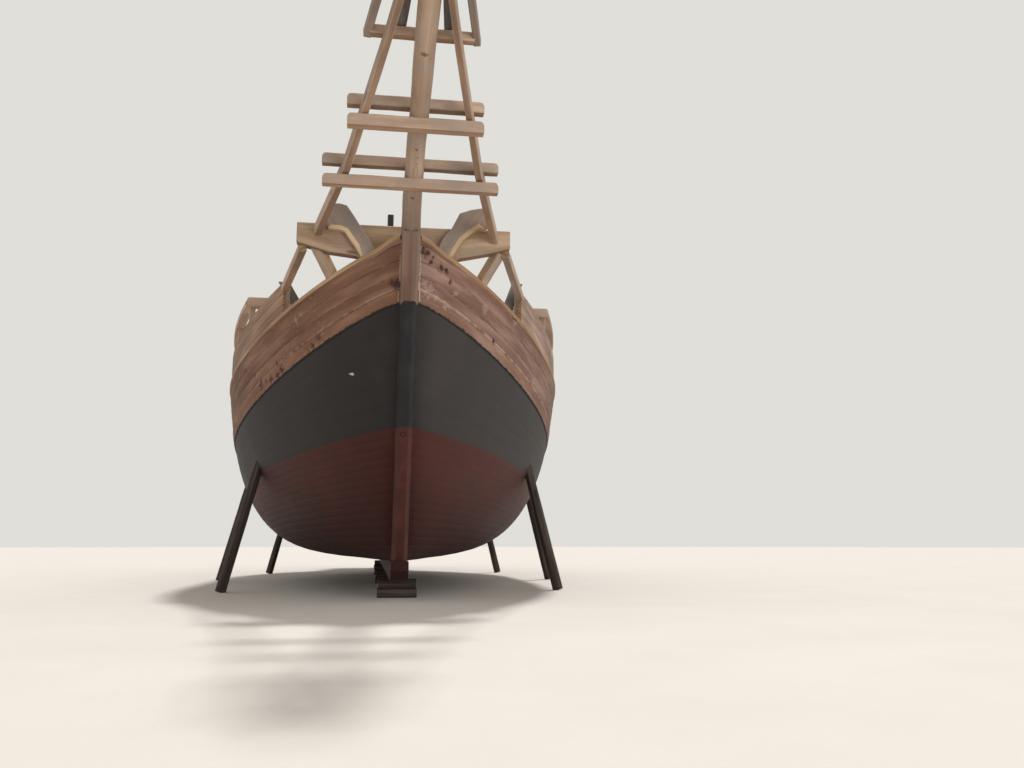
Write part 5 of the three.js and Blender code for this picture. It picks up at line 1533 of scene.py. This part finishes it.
def upright_stick(x, s, size, top, base=None, **settings):
    """A squared post from the deck, or from base, up to top."""
    low = deck_top_z(s) - 0.02 if base is None else base
    return stick((x, s, low), (x, s, top), size, size, across=ACROSS_SHIP, **settings)


def level_stick(start, end, low, high, thick, **settings):
    """A plank on edge between two places [x, s], from low to high."""
    middle = (low + high) / 2
    return stick((*start, middle), (*end, middle), thick, high - low, upright=True, **settings)


for name, s in PARTNER_PLACES:
    half, wide = PARTNER.size / 2, PARTNER.size / PARTNER.boards
    top = deck_top_z(s) + PARTNER.height
    chocks = [level_stick((x, s - half), (x, s + half), top - 0.2, top, wide - 0.003,
                          cut=0.008, seed=70 + k, material=fresh)
              for k, x in enumerate(np.linspace(wide / 2 - half, half - wide / 2, PARTNER.boards))]
    join_up(merged(chocks), f"{name}_chocks", "fresh_wood", name)

side_x, wall = HATCH.half - HATCH.wall / 2, HATCH.wall
walls = []
coaming_low = deck_top_z(HATCH.end) - 0.02
for k, x in enumerate((side_x, -side_x)):
    walls.append(level_stick((x, HATCH.start), (x, HATCH.end), coaming_low, HATCH.top,
                             wall, seed=80 + k, material=pale_stained))
for k, s in enumerate((HATCH.start + wall / 2, HATCH.end - wall / 2)):
    walls.append(level_stick((-side_x, s), (side_x, s), deck_top_z(s) - 0.02,
                             HATCH.top - 0.003, wall, seed=83 + k, material=pale_stained))
join_up(merged(walls), "coaming", "stained_wood", "hatch_coaming")
long = HATCH.end - HATCH.start - 2 * HATCH.inset
pitch = long / HATCH.boards
board_half = HATCH.half - HATCH.inset
cover = [[(-board_half, s, HATCH.top + HATCH.board / 2), (board_half, s, HATCH.top + HATCH.board / 2)]
         for s in HATCH.start + HATCH.inset + pitch * (np.arange(HATCH.boards) + 0.5)]
join_up(boards(cover, pitch - 0.006, HATCH.board, fresh, first=300), "cover_boards", "fresh_wood",
        "hatch_boards")
samson = upright_stick(SAMSON.x, SAMSON.s, SAMSON.size, SAMSON.top, material=dark_wood, seed=88)
join_up(samson, "samson", "dark_wood", "samson_post")
bitts = [upright_stick(x, BITT.s, BITT.size, BITT.top, seed=90 + k) for k, x in enumerate((-BITT.x, BITT.x))]
bitts.append(level_stick((-BITT_CROSS.half, BITT.s), (BITT_CROSS.half, BITT.s), BITT_CROSS.low,
                         BITT_CROSS.high, BITT_CROSS.thick, seed=93))
join_up(merged(bitts), "bitts", "weathered_wood", "bowsprit_step")
print("hatch boards:", HATCH.boards)

# %% [markdown]
# ## Deckhouse
# The house is planked like the ship, with boards laid one over another between corner posts. A board is cut
# wherever a window or the door opens, so the openings are real holes. Frames are sticks round each hole.

# %% Deckhouse walls
HOUSE = Sizes(start=14.2, end=18.3, half=1.5, wall=0.06, top=5.06, board=0.165, roof_over=0.18, roof=0.055,
              camber=0.13)
WINDOW_LOW, WINDOW_HIGH = 4.08, 4.62
DOOR = Sizes(x0=0.56, x1=1.24, low=3.01, high=4.78, clear=0.006, thick=0.04)
SIDE_WINDOWS = [(s, s + 0.64, WINDOW_LOW, WINDOW_HIGH) for s in (14.75, 15.95, 17.15)]
FRONT_OPENINGS = [(DOOR.x0, DOOR.x1, DOOR.low, DOOR.high), (-1.05, -0.41, WINDOW_LOW, WINDOW_HIGH)]
AFT_OPENINGS = [(-0.5, 0.5, WINDOW_LOW, WINDOW_HIGH)]
FRAME = Sizes(wide=0.07, proud=0.012)


def board_runs(start, end, low, high, openings):
    """Lengths of board between start and end that keep clear of the openings."""
    runs = [(start, end)]
    for a, b, z0, z1 in openings:
        if low < z1 - 0.001 and high > z0 + 0.001:
            parts = [part for r0, r1 in runs for part in ((r0, min(r1, a)), (max(r0, b), r1))]
            runs = [(near, far) for near, far in parts if far - near > 0.02]
    return runs


def wall_levels(base, openings):
    """Board edges from the base to the roof, with one at every edge of an opening."""
    edges = sorted({base, HOUSE.top, *[z for _, _, z0, z1 in openings for z in (z0, z1) if z > base]})
    levels = []
    for low, high in zip(edges, edges[1:]):
        count = max(1, round((high - low) / HOUSE.board))
        levels += [(lerp(low, high, k / count), lerp(low, high, (k + 1) / count)) for k in range(count)]
    return levels


def house_wall(start, end, base, openings, place, seed):
    """A wall of boards on edge; place(t, z) turns a distance along the wall into a point."""
    pieces = []
    for low, high in wall_levels(base, openings):
        for a, b in board_runs(start, end, low, high, openings):
            z = (low + high) / 2
            pieces.append(stick(place(a, z), place(b, z), HOUSE.wall - 0.012,
                                high - low - 0.004, upright=True, cut=0.004, shake=0.0008, step=0.6,
                                seed=seed + len(pieces), material=pale_stained))
    return pieces


def opening_frame(a, b, z0, z1, place, seed, parts=("low", "high", "near", "far")):
    """Four sticks round an opening, standing proud of the wall on both faces."""
    w, thick = FRAME.wide / 2, HOUSE.wall + 2 * FRAME.proud
    ends = {"low": ((a - 2 * w, z0 - w), (b + 2 * w, z0 - w)),
            "high": ((a - 2 * w, z1 + w), (b + 2 * w, z1 + w)),
            "near": ((a - w, z0), (a - w, z1)), "far": ((b + w, z0), (b + w, z1))}
    across = np.subtract(place(1.0, 0.0), place(0.0, 0.0))
    out = np.array([-across[1], across[0], 0.0])
    pieces = []
    for k, part in enumerate(parts):
        (t0, za), (t1, zb) = ends[part]
        wide, tall = (thick, FRAME.wide) if part in ("low", "high") else (FRAME.wide, thick)
        side_way = out if part in ("low", "high") else across
        pieces.append(stick(place(t0, za), place(t1, zb), wide, tall, across=side_way,
                            cut=0.005, shake=0.001, step=0.5, seed=seed + k, material=fresh))
    return pieces


def corner_posts(places, seed):
    return [upright_stick(x, s, 0.1, HOUSE.top - 0.002, seed=seed + k, cut=0.01, shake=0.001,
                          material=pale_stained) for k, (x, s) in enumerate(places)]


print("levels of boards in a side wall:", len(wall_levels(3.0, SIDE_WINDOWS)))

# %% The four walls
wall_x, mid = HOUSE.half - HOUSE.wall / 2, HOUSE.wall / 2
for label, side in SIDES:
    place = lambda t, z, side=side: (side * wall_x, t, z)
    pieces = house_wall(HOUSE.start + 0.09, HOUSE.end - 0.09, deck_top_z(15.0) - 0.02,
                        SIDE_WINDOWS, place, 400 + 60 * (side > 0))
    for k, (a, b, z0, z1) in enumerate(SIDE_WINDOWS):
        pieces += opening_frame(a, b, z0, z1, place, 520 + 10 * k + side)
    corners = [(side * (HOUSE.half - 0.05), s) for s in (HOUSE.start + 0.05, HOUSE.end - 0.05)]
    pieces += corner_posts(corners, 560 + 3 * side)
    join_up(merged(pieces), f"house_side_{label}", "stained_wood", f"deckhouse_side_{label}")
inner = HOUSE.half - 0.1
front_s, aft_s = HOUSE.start + mid, HOUSE.end - mid
front_place, aft_place = lambda t, z: (t, front_s, z), lambda t, z: (t, aft_s, z)
front = house_wall(-inner, inner, deck_top_z(HOUSE.start) - 0.01, FRONT_OPENINGS, front_place, 580)
front += opening_frame(*FRONT_OPENINGS[1], front_place, 640)
front += opening_frame(DOOR.x0, DOOR.x1 - 0.02, DOOR.low, DOOR.high, front_place, 650, parts=("high",))
aft = house_wall(-inner, inner, deck_top_z(HOUSE.end) - 0.01, AFT_OPENINGS, aft_place, 660)
aft += opening_frame(*AFT_OPENINGS[0], aft_place, 720)
join_up(merged(aft), "house_aft_wall", "stained_wood", "deckhouse_aft")
print("boards in the front wall:", len(front))

# %% [markdown]
# ## Steel and bronze
# Straps and the bearing are dull steel; the propeller is cast bronze, gone brown. Both are metals, so their
# colour is in the reflection, and roughness tells them apart.


# %% Metals
def metal(name, base, worn, rough, relief=0.0006):
    t = Shader(name)
    place = t.place()
    patch = t.between(t.noise(place, 6.0, 5.0, 0.65), 0.42, 0.66)
    fine = t.noise(place, 70.0, 3.0, 0.6)
    t.set(Base_Color=t.mix(patch, base, worn), Metallic=t.minus(1.0, t.times(patch, 0.5)),
          Roughness=t.math("MULTIPLY_ADD", patch, rough[1] - rough[0], rough[0]), Normal=t.bump(fine, relief))
    return t.material


steel = metal("dull steel", (120, 118, 116), (92, 74, 62), (0.45, 0.8))
bronze = metal("cast bronze", (176, 132, 74), (110, 92, 62), (0.35, 0.6))
print("metals:", steel.name, "and", bronze.name)

# %% [markdown]
# ## Door
# The door is five upright boards behind two steel straps. It hangs on barrels just off the wall, so leaf,
# straps and handle are one object on the door's body, and the pin plates stay with the wall.

# %% Door and hinges
HINGE = Sizes(x=1.238, s=14.184, radius=0.014, heights=(3.35, 4.4), tall=0.06, strap=0.3,
              strap_s=(14.186, 14.203), plate_s=(14.174, 14.2))
HANDLE = Sizes(x=(0.62, 0.655), s=(14.158, 14.203), z=(3.8, 3.96))
DOOR_BOARDS = 5


def upright_rod(x, s, low, high, radius, **settings):
    return log_piece([(x, s, low, radius), (x, s, high, radius)], flat=0.0, **settings)


def block(x, s, z, material, seed, cut=0.003):
    """A small squared piece from ranges of x, s and z."""
    middle = (sum(s) / 2, sum(z) / 2)
    return stick((x[0], *middle), (x[1], *middle), s[1] - s[0], z[1] - z[0], upright=True, cut=cut,
                 shake=0.0, step=1.0, seed=seed, material=material)


leaf_x0, leaf_x1 = DOOR.x0 + DOOR.clear, DOOR.x1 - DOOR.clear
leaf_s = sum((HOUSE.start + 0.002, HOUSE.start + 0.002 + DOOR.thick)) / 2
wide = (leaf_x1 - leaf_x0) / DOOR_BOARDS
leaf, plates = [], []
for k in range(DOOR_BOARDS):
    x = leaf_x0 + wide * (k + 0.5)
    leaf.append(stick((x, leaf_s, DOOR.low + DOOR.clear), (x, leaf_s, DOOR.high - DOOR.clear),
                      wide - 0.002, DOOR.thick, across=ACROSS_SHIP, cut=0.004, shake=0.0005, step=0.6,
                      seed=730 + k, material=fresh))
for k, z in enumerate(HINGE.heights):
    leaf.append(block((HINGE.x - HINGE.strap, HINGE.x - 0.004), HINGE.strap_s, (z, z + HINGE.tall),
                      steel, 740 + k))
    leaf.append(upright_rod(HINGE.x, HINGE.s, z, z + HINGE.tall, HINGE.radius,
                            sides=16, shake=0.0, material=steel))
    plates.append(block((HINGE.x - 0.01, HINGE.x + 0.07), HINGE.plate_s,
                        (z - 0.03, z - 0.001), steel, 744 + k))
leaf.append(block(HANDLE.x, HANDLE.s, HANDLE.z, steel, 748, cut=0.008))
join_up(merged(leaf), "door_leaf", "fresh_wood", "deckhouse_door", body="door")
join_up(merged(front + plates), "house_front_wall", "stained_wood", "deckhouse_front")
print("door boards:", DOOR_BOARDS)

# %% [markdown]
# ## Deckhouse roof
# The roof is a run of boards on cambered beams. Each board takes its slope from the camber, so its four
# corners are found on the curve at its two edges; a flat board would leave steps.

# %% Roof boards
ROOF_BOARDS = 20
roof_half = HOUSE.half + HOUSE.roof_over


def roof_z(x):
    return HOUSE.top + HOUSE.roof + HOUSE.camber * (1 - (x / roof_half) ** 2)


roof = []
edges = np.linspace(-roof_half, roof_half, ROOF_BOARDS + 1)
roof_ends = np.linspace(HOUSE.start - HOUSE.roof_over, HOUSE.end + HOUSE.roof_over, 8)
for k, (a, b) in enumerate(zip(edges + 0.002, edges[1:] - 0.002)):
    corners = [(a, roof_z(a) - HOUSE.roof), (b, roof_z(b) - HOUSE.roof), (b, roof_z(b)), (a, roof_z(a))]
    rings = [[(x, s, z) for x, z in corners] for s in roof_ends]
    roof.append(ring_loft(rings, [hewn, heart], number=760 + k))
carline_x = np.linspace(-roof_half + 0.05, roof_half - 0.05, 9)
for k, s in enumerate(np.linspace(HOUSE.start + 0.03, HOUSE.end - 0.03, 5)):
    rows = [(x, s, roof_z(x) - HOUSE.roof - 0.03, 0.06, 0.06) for x in carline_x]
    roof.append(timber(rows, cut=0.004, shake=0.0, step=0.4, seed=790 + k, across=ALONG_SHIP,
                       upright=True, material=brown_hewn))
join_up(merged(roof), "roof_boards", "weathered_wood", "deckhouse_roof")
print("roof boards:", ROOF_BOARDS)

# %% [markdown]
# ## Stern post and keel
# The stern post is painted like the stem, red under water and grey above, so it takes the same kind of
# material with its own heights. The keel is one long log with a rounded toe; it is a slab of its side view.

# %% Stern post and keel
STERN_RED_Z, STERN_BARE_Z = 2.41, 4.1
KEEL_TOE = [(1.95, 0.62), (1.97, 0.47), (2.15, 0.33), (2.37, 0.3), (21.95, 0.3), (21.95, 0.62)]
RUDDER_S = 21.6
HEEL_PIN = Sizes(radius=0.045, low=0.56, high=0.69)

stern_paint = post_shader("painted stern post", STERN_RED_Z, STERN_BARE_Z)
stern_post = ring_loft([stern_ring(z) for z in np.linspace(KEEL_TOP, STERN_POST.head, 40)],
                       [stern_paint, heart], 5)
join_up(stern_post, "stern_post_log", "red_paint", "stern_post")
keel_log = slab(KEEL_TOE, -0.14, 0.14, "x", material=red_paint, step=0.5, number=6, shake=0.002)
pin = upright_rod(0, RUDDER_S, HEEL_PIN.low, HEEL_PIN.high, HEEL_PIN.radius, sides=20,
                  shake=0.0, material=steel)
join_up(merged([keel_log, pin]), "keel_and_pin", "red_paint", "keel")
print("keel from", KEEL_TOE[0][0], "to", KEEL_TOE[4][0])

# %% [markdown]
# ## Rudder and tiller
# The blade is three planks deep, strapped to a round stock that stands on the heel pin and turns in a
# bearing on the post. The tiller is wedged on its head. All of it turns together, so it rides the steering.

# %% Rudder and tiller
RUDDER = Sizes(low=0.6903, thick=0.11, stock=0.08, top=5.98)
RUDDER_LINES = [
    # front and back of each plank of the blade, at the blade's four heights
    (0.6903, (21.49, 21.8, 22.15, 22.5)),
    (1.5, (21.49, 21.82, 22.18, 22.54)),
    (2.4, (21.49, 21.77, 22.06, 22.352)),
    (3.35, (21.49, 21.7, 21.93, 22.16)),
]
RUDDER_STRAP = Sizes(heights=(1.3, 2.75), inside=0.05, proud=0.012, s=(21.56, 22.0), tall=0.07)
TILLER = Sizes(aft=(21.75, 5.86), fore=(19.82, 5.98), wide=0.095, tall=0.12)
TILLER_HEAD = Sizes(x=(-0.12, 0.12), s=(21.47, 21.73), z=(5.79, 5.935))

blade = []
for k in range(3):
    front = [(s[k] + 0.002, z) for z, s in RUDDER_LINES]
    back = [(s[k + 1] - 0.002, z + (0.02 * (k + 1) if z < 1 else 0)) for z, s in RUDDER_LINES]
    blade.append(slab(front + back[::-1], -RUDDER.thick / 2, RUDDER.thick / 2, "x",
                      material=red_paint, grain=(0, 1), number=800 + k, shake=0.001, step=0.3))
blade.append(upright_rod(0, RUDDER_S, RUDDER.low, RUDDER.top, RUDDER.stock, shake=0.0008,
                         material=red_paint, step=0.3, seed=804))
for k, z in enumerate(RUDDER_STRAP.heights):
    for _, side in SIDES:
        x = sorted((side * RUDDER_STRAP.inside, side * (RUDDER.thick / 2 + RUDDER_STRAP.proud)))
        blade.append(block(x, RUDDER_STRAP.s, (z, z + RUDDER_STRAP.tall), steel, 806 + k))
join_up(merged(blade), "rudder_blade", "red_paint", "rudder", body="steering")
handle = stick((0, *TILLER.aft), (0, *TILLER.fore), TILLER.wide, TILLER.tall, cut=0.02,
               seed=810, material=fresh)
head = block(TILLER_HEAD.x, TILLER_HEAD.s, TILLER_HEAD.z, fresh, 811, cut=0.012)
join_up(merged([handle, head]), "tiller_and_head", "fresh_wood", "tiller", body="steering")
print("rudder planks: 3")

# %% [markdown]
# ## Propeller
# A cast propeller has a tapered hub and blades whose sections are thin wings, turned less and less towards
# the tip. Each blade is a loft of such sections, so its twist is real.

# %% Propeller
SCREW = Sizes(z=1.25, s=21.08, hub=0.085, half=0.1, shaft=0.045, blades=3)
SHAFT_FROM = 20.845
BLADE_ROWS = [
    # radius, chord, pitch angle in degrees from the cross plane, thickness
    (0.06, 0.17, 55, 0.034),
    (0.2, 0.28, 38, 0.024),
    (0.35, 0.33, 27, 0.016),
    (0.45, 0.24, 22, 0.012),
    (0.5, 0.08, 20, 0.008),
]
WING = [(-0.5, 0.0), (-0.42, 0.3), (-0.2, 0.5), (0.05, 0.48), (0.3, 0.3), (0.5, 0.0), (0.3, -0.3),
        (0.05, -0.48), (-0.2, -0.5), (-0.42, -0.3)]


def screw_blade(turn):
    fine = np.linspace(0, 1, 25)
    table = np.array(BLADE_ROWS)
    steps = np.linspace(0, 1, len(table))
    rings = []
    for radius, chord, angle, thick in np.stack([np.interp(fine, steps, column) for column in table.T], -1):
        a = math.radians(angle)
        ring = []
        for c, t in WING:
            across = c * chord * math.cos(a) - t * thick * math.sin(a)
            along = c * chord * math.sin(a) + t * thick * math.cos(a)
            ring.append((across * math.cos(turn) + radius * math.sin(turn), SCREW.s + along,
                         SCREW.z - across * math.sin(turn) + radius * math.cos(turn)))
        rings.append(ring)
    return ring_loft(rings, [bronze, bronze], smooth_angle=60)


def round_log(rows, material, sides=28):
    return log_piece([(0, s, SCREW.z, r) for s, r in rows], sides=sides, flat=0.0, shake=0.0,
                     material=material, step=0.05)


screw_parts = [screw_blade(k * 2 * math.pi / SCREW.blades) for k in range(SCREW.blades)]
hub_rows = [(SCREW.s - SCREW.half, SCREW.hub), (SCREW.s, 0.08), (SCREW.s + 0.08, 0.066),
            (SCREW.s + SCREW.half, 0.055)]
screw_parts.append(round_log(hub_rows, bronze))
screw_parts.append(round_log([(SHAFT_FROM, SCREW.shaft), (SCREW.s, SCREW.shaft)], bronze, 20))
join_up(merged(screw_parts), "screw", "bronze", "propeller", body="screw")
print("propeller blades:", SCREW.blades)

# %% [markdown]
# ## Stern gallery
# A floor hangs out over the stern on beams that cross the rails, with an open rail round it. The planks are
# laid fore and aft; the one over the rudder stock is cut away round it.

# %% Gallery
GALLERY = Sizes(start=19.45, end=22.825, floor=5.08, thick=0.05, half=1.45, aft_half=1.15, board=0.145)
GALLERY_BEAMS = [
    # s, depth below the floor
    (19.56, 0.56),
    (20.5, 0.38),
    (21.0, 0.22),
    (22.48, 0.15),
]
STOCK_WAY = 0.11
GALLERY_RAIL = Sizes(fore=19.51, aft=22.755, foot=5.131, top=5.97, heights=(5.93, 5.56), wide=0.08, tall=0.06)
GALLERY_POST = Sizes(size=0.07, places=(19.57, 20.5, 21.5, 22.755), middle=0.38)


def gallery_half(s):
    return lerp(GALLERY.half, GALLERY.aft_half, (s - GALLERY.start) / (GALLERY.end - GALLERY.start))


floor_z = GALLERY.floor + GALLERY.thick / 2
floor_lines = []
count = int(2 * GALLERY.half / GALLERY.board)
for x in (np.arange(count) - (count - 1) / 2) * GALLERY.board:
    reach = abs(x) + GALLERY.board / 2
    share = clamp01((GALLERY.half - reach) / (GALLERY.half - GALLERY.aft_half))
    end = lerp(GALLERY.start, GALLERY.end, float(share))
    cuts = [(RUDDER_S - STOCK_WAY, RUDDER_S + STOCK_WAY, 0, 1)] if reach - GALLERY.board < STOCK_WAY else []
    runs = board_runs(GALLERY.start, end, 0, 1, cuts)
    floor_lines += [[(x, a, floor_z), (x, b, floor_z)] for a, b in runs if b - a > 0.3]
join_up(boards(floor_lines, GALLERY.board - 0.005, GALLERY.thick, deck_wood, first=820), "gallery_boards",
        "deck_wood", "gallery_floor")
frame_sticks = []
for k, (s, deep) in enumerate(GALLERY_BEAMS):
    half = gallery_half(s) - 0.03
    frame_sticks.append(level_stick((-half, s + 0.08), (half, s + 0.08),
                                    GALLERY.floor - deep, GALLERY.floor - 0.001, 0.16, seed=850 + k))
for k, x in enumerate((-0.64, 0.64)):
    frame_sticks.append(level_stick((x, 19.56), (x, 22.64), GALLERY.floor - 0.15,
                                    GALLERY.floor - 0.002, 0.12, seed=856 + k))
join_up(merged(frame_sticks), "gallery_beams", "weathered_wood", "gallery_frame")
edge_half = lambda s: gallery_half(s) - 0.05
post_spots = [(side * edge_half(s), s) for s in GALLERY_POST.places for _, side in SIDES]
post_spots += [(GALLERY_POST.middle, GALLERY_RAIL.aft), (-GALLERY_POST.middle, GALLERY_RAIL.aft)]
rail_size = (GALLERY_RAIL.wide, GALLERY_RAIL.tall)
rail_finish = dict(shake=0.002, material=fresh)
rail_sticks = [upright_stick(x, s, GALLERY_POST.size, GALLERY_RAIL.top, base=GALLERY_RAIL.foot, seed=860 + k,
                             **rail_finish) for k, (x, s) in enumerate(post_spots)]
fore_x, aft_x = edge_half(GALLERY_RAIL.fore), edge_half(GALLERY_RAIL.aft)
for k, z in enumerate(GALLERY_RAIL.heights):
    for _, side in SIDES:
        start, end = (side * fore_x, GALLERY_RAIL.fore, z), (side * aft_x, GALLERY_RAIL.aft + 0.03, z)
        rail_sticks.append(stick(start, end, *rail_size, seed=880 + k, **rail_finish))
    start, end = (-aft_x - 0.03, GALLERY_RAIL.aft, z), (aft_x + 0.03, GALLERY_RAIL.aft, z)
    rail_sticks.append(stick(start, end, *rail_size, seed=884 + k, **rail_finish))
join_up(merged(rail_sticks), "gallery_rails", "fresh_wood", "gallery_rail")
print("gallery boards:", len(floor_lines))

# %% [markdown]
# ## Blocks and shores
# The ship stands on its keel, on piles of old timber, and round poles lean against its sides to keep it
# upright. The blocks are crossed balks, and the poles are rough logs, nearly round.

# %% Blocks and shores
BLOCK_PLACES = (3.3, 8.7, 14.1, 19.5)
BLOCK = Sizes(half=0.33, deep=0.34, top=0.2997)
SHORE_PLACES = (5.2, 10.2, 15.4)
SHORE = Sizes(top_z=2.35, spread=0.6, inside=0.06, above=0.09, foot_z=-0.2, foot_r=0.1, head_r=0.085,
              start=0.07)

for k, s in enumerate(BLOCK_PLACES):
    layer = BLOCK.top / 2
    low = level_stick((-BLOCK.half, s), (BLOCK.half, s), 0.0, layer - 0.002, BLOCK.deep,
                      seed=900 + k, cut=0.015, material=dark_wood)
    balks = [low]
    for j, shift in enumerate((-0.25, 0.25)):
        middle = s + shift * BLOCK.deep
        balks.append(level_stick((-BLOCK.half + 0.02, middle), (BLOCK.half - 0.015, middle), layer, BLOCK.top,
                                 BLOCK.deep / 2 - 0.01, seed=905 + 2 * k + j, cut=0.012, material=dark_wood))
    join_up(merged(balks), f"block_{k}", "dark_wood", f"keel_block_{k + 1}")
for k, s in enumerate(SHORE_PLACES):
    x = float(half_breadth(SHORE.top_z, s))
    foot = np.array((x + SHORE.spread, s, SHORE.foot_z))
    top = np.array((x - SHORE.inside, s, SHORE.top_z + SHORE.above))
    start = lerp(foot, top, SHORE.start + 0.01)
    for label, side in SIDES:
        rows = [(side * p[0], p[1], p[2], r) for p, r in ((start, SHORE.foot_r), (top, SHORE.head_r))]
        pole = log_piece(rows, sides=20, flat=0.25, shake=0.006, seed=920 + 2 * k + side, material=dark_wood)
        join_up(pole, f"shore_{k}_{label}", "dark_wood", f"shore_{k + 1}_{label}")
print("blocks and shores:", len(BLOCK_PLACES), "and", 2 * len(SHORE_PLACES))

# %% [markdown]
# ## Pegs and metal parts
# Wooden pegs hold the planks to the ribs, two to each strake at each rib; each shows as a small plug. The
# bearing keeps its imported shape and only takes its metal.

# %% Pegs and the bearing
PEG = Sizes(radius=0.016, proud=0.004, depth=0.02, shift=0.025)


def peg_shape():
    rows = [(0, -STEM_HEAD_Y, 0, 1.0), (0, -STEM_HEAD_Y, 1.0, 1.0)]
    return log_piece(rows, sides=8, flat=0.0, shake=0.0, step=1.0)


def peg_rows(side):
    """Foot, rise, facing and size of each peg: two on every strake at each rib."""
    rows = []
    for i in range(RIB.count):
        for low, high in zip(BULWARK_BOUNDS, BULWARK_BOUNDS[1:]):
            for share, shift in ((0.25, -PEG.shift), (0.75, PEG.shift)):
                s = RIB.start + i * RIB.pitch + shift
                z = lerp(deck_line_z(s), under_rail_z(s), lerp(low, high, share))
                out = hull_normal(z, s)
                proud = PEG.proud + (BULWARK_PROUD[0] if low == 0 else 0.0)
                foot = np.array([half_breadth(z, s), s, z], float) + out * (proud - PEG.depth)
                size = (PEG.radius, PEG.radius, PEG.depth)
                rows.append((foot * (side, 1, 1), out * (side, 1, 1), (0.0, 1.0, 0.1), size))
    return rows


unit_peg = peg_shape()
for label, side in SIDES:
    rows = peg_rows(side)
    pegs = set_out(unit_peg, rows, brown_hewn, least=0.94, most=1.06, seed=3)
    join_up(pegs, f"pegs_{label}", "stained_wood")
for helper in (unit_peg, unit_post):
    bpy.data.objects.remove(helper)
for slot in bpy.data.objects["rudder_bearing"].material_slots:
    slot.material = steel
print("pegs a side:", len(rows))

# %% [markdown]
# ## Floor and light
# A plain pale floor and an even pale surround stand in for a studio. The main light comes from high behind
# the stern, so the top faces are bright, the bow is lit by the surround and the floor, and a soft shadow
# falls towards the viewer.

# %% Stage
FLOOR_RADIUS = 160.0
SUN_FROM = Vector((0.66, 2.2, 5.6))


def stage_floor():
    sides = 96
    ring = [(FLOOR_RADIUS * math.cos(a), FLOOR_RADIUS * math.sin(a), 0.0)
            for a in np.linspace(0, 2 * math.pi, sides, endpoint=False)]
    mesh = bpy.data.meshes.new("floor")
    mesh.from_pydata(ring, [], [tuple(range(sides))])
    t = Shader("pale floor")
    soft = t.noise(t.place(), 0.6, 4.0, 0.6)
    grit = t.noise(t.place(), 18.0, 4.0, 0.6)
    t.set(Base_Color=t.mix(soft, (190, 183, 175), (201, 194, 187)), Roughness=0.95,
          Normal=t.bump(grit, 0.004))
    mesh.materials.append(t.material)
    placed(mesh, "floor")


def lamp(name, kind, energy, aim, at=(0, 0, 0), **settings):
    data = bpy.data.lights.new(name, kind)
    data.energy = energy
    for key, value in settings.items():
        setattr(data, key, value)
    holder = placed(data, name)
    holder.location = at
    holder.rotation_euler = Vector(aim).to_track_quat("-Z", "Y").to_euler()


stage_floor()
lamp("sun", "SUN", 3.0, -SUN_FROM, angle=math.radians(6))
lamp("soft_front", "AREA", 140.0, (-0.5, 1.0, 0.1), at=(9.0, -24.0, 4.0), shape="DISK", size=8.0,
     spread=math.radians(60))
world = bpy.data.worlds.new("pale surround")
world.use_nodes = True
world.node_tree.nodes["Background"].inputs["Color"].default_value = (0.745, 0.737, 0.701, 1)
world.node_tree.nodes["Background"].inputs["Strength"].default_value = 1.0
bpy.context.scene.world = world
bpy.context.scene.view_settings.view_transform = "Standard"
print("lights:", len(bpy.data.lights))
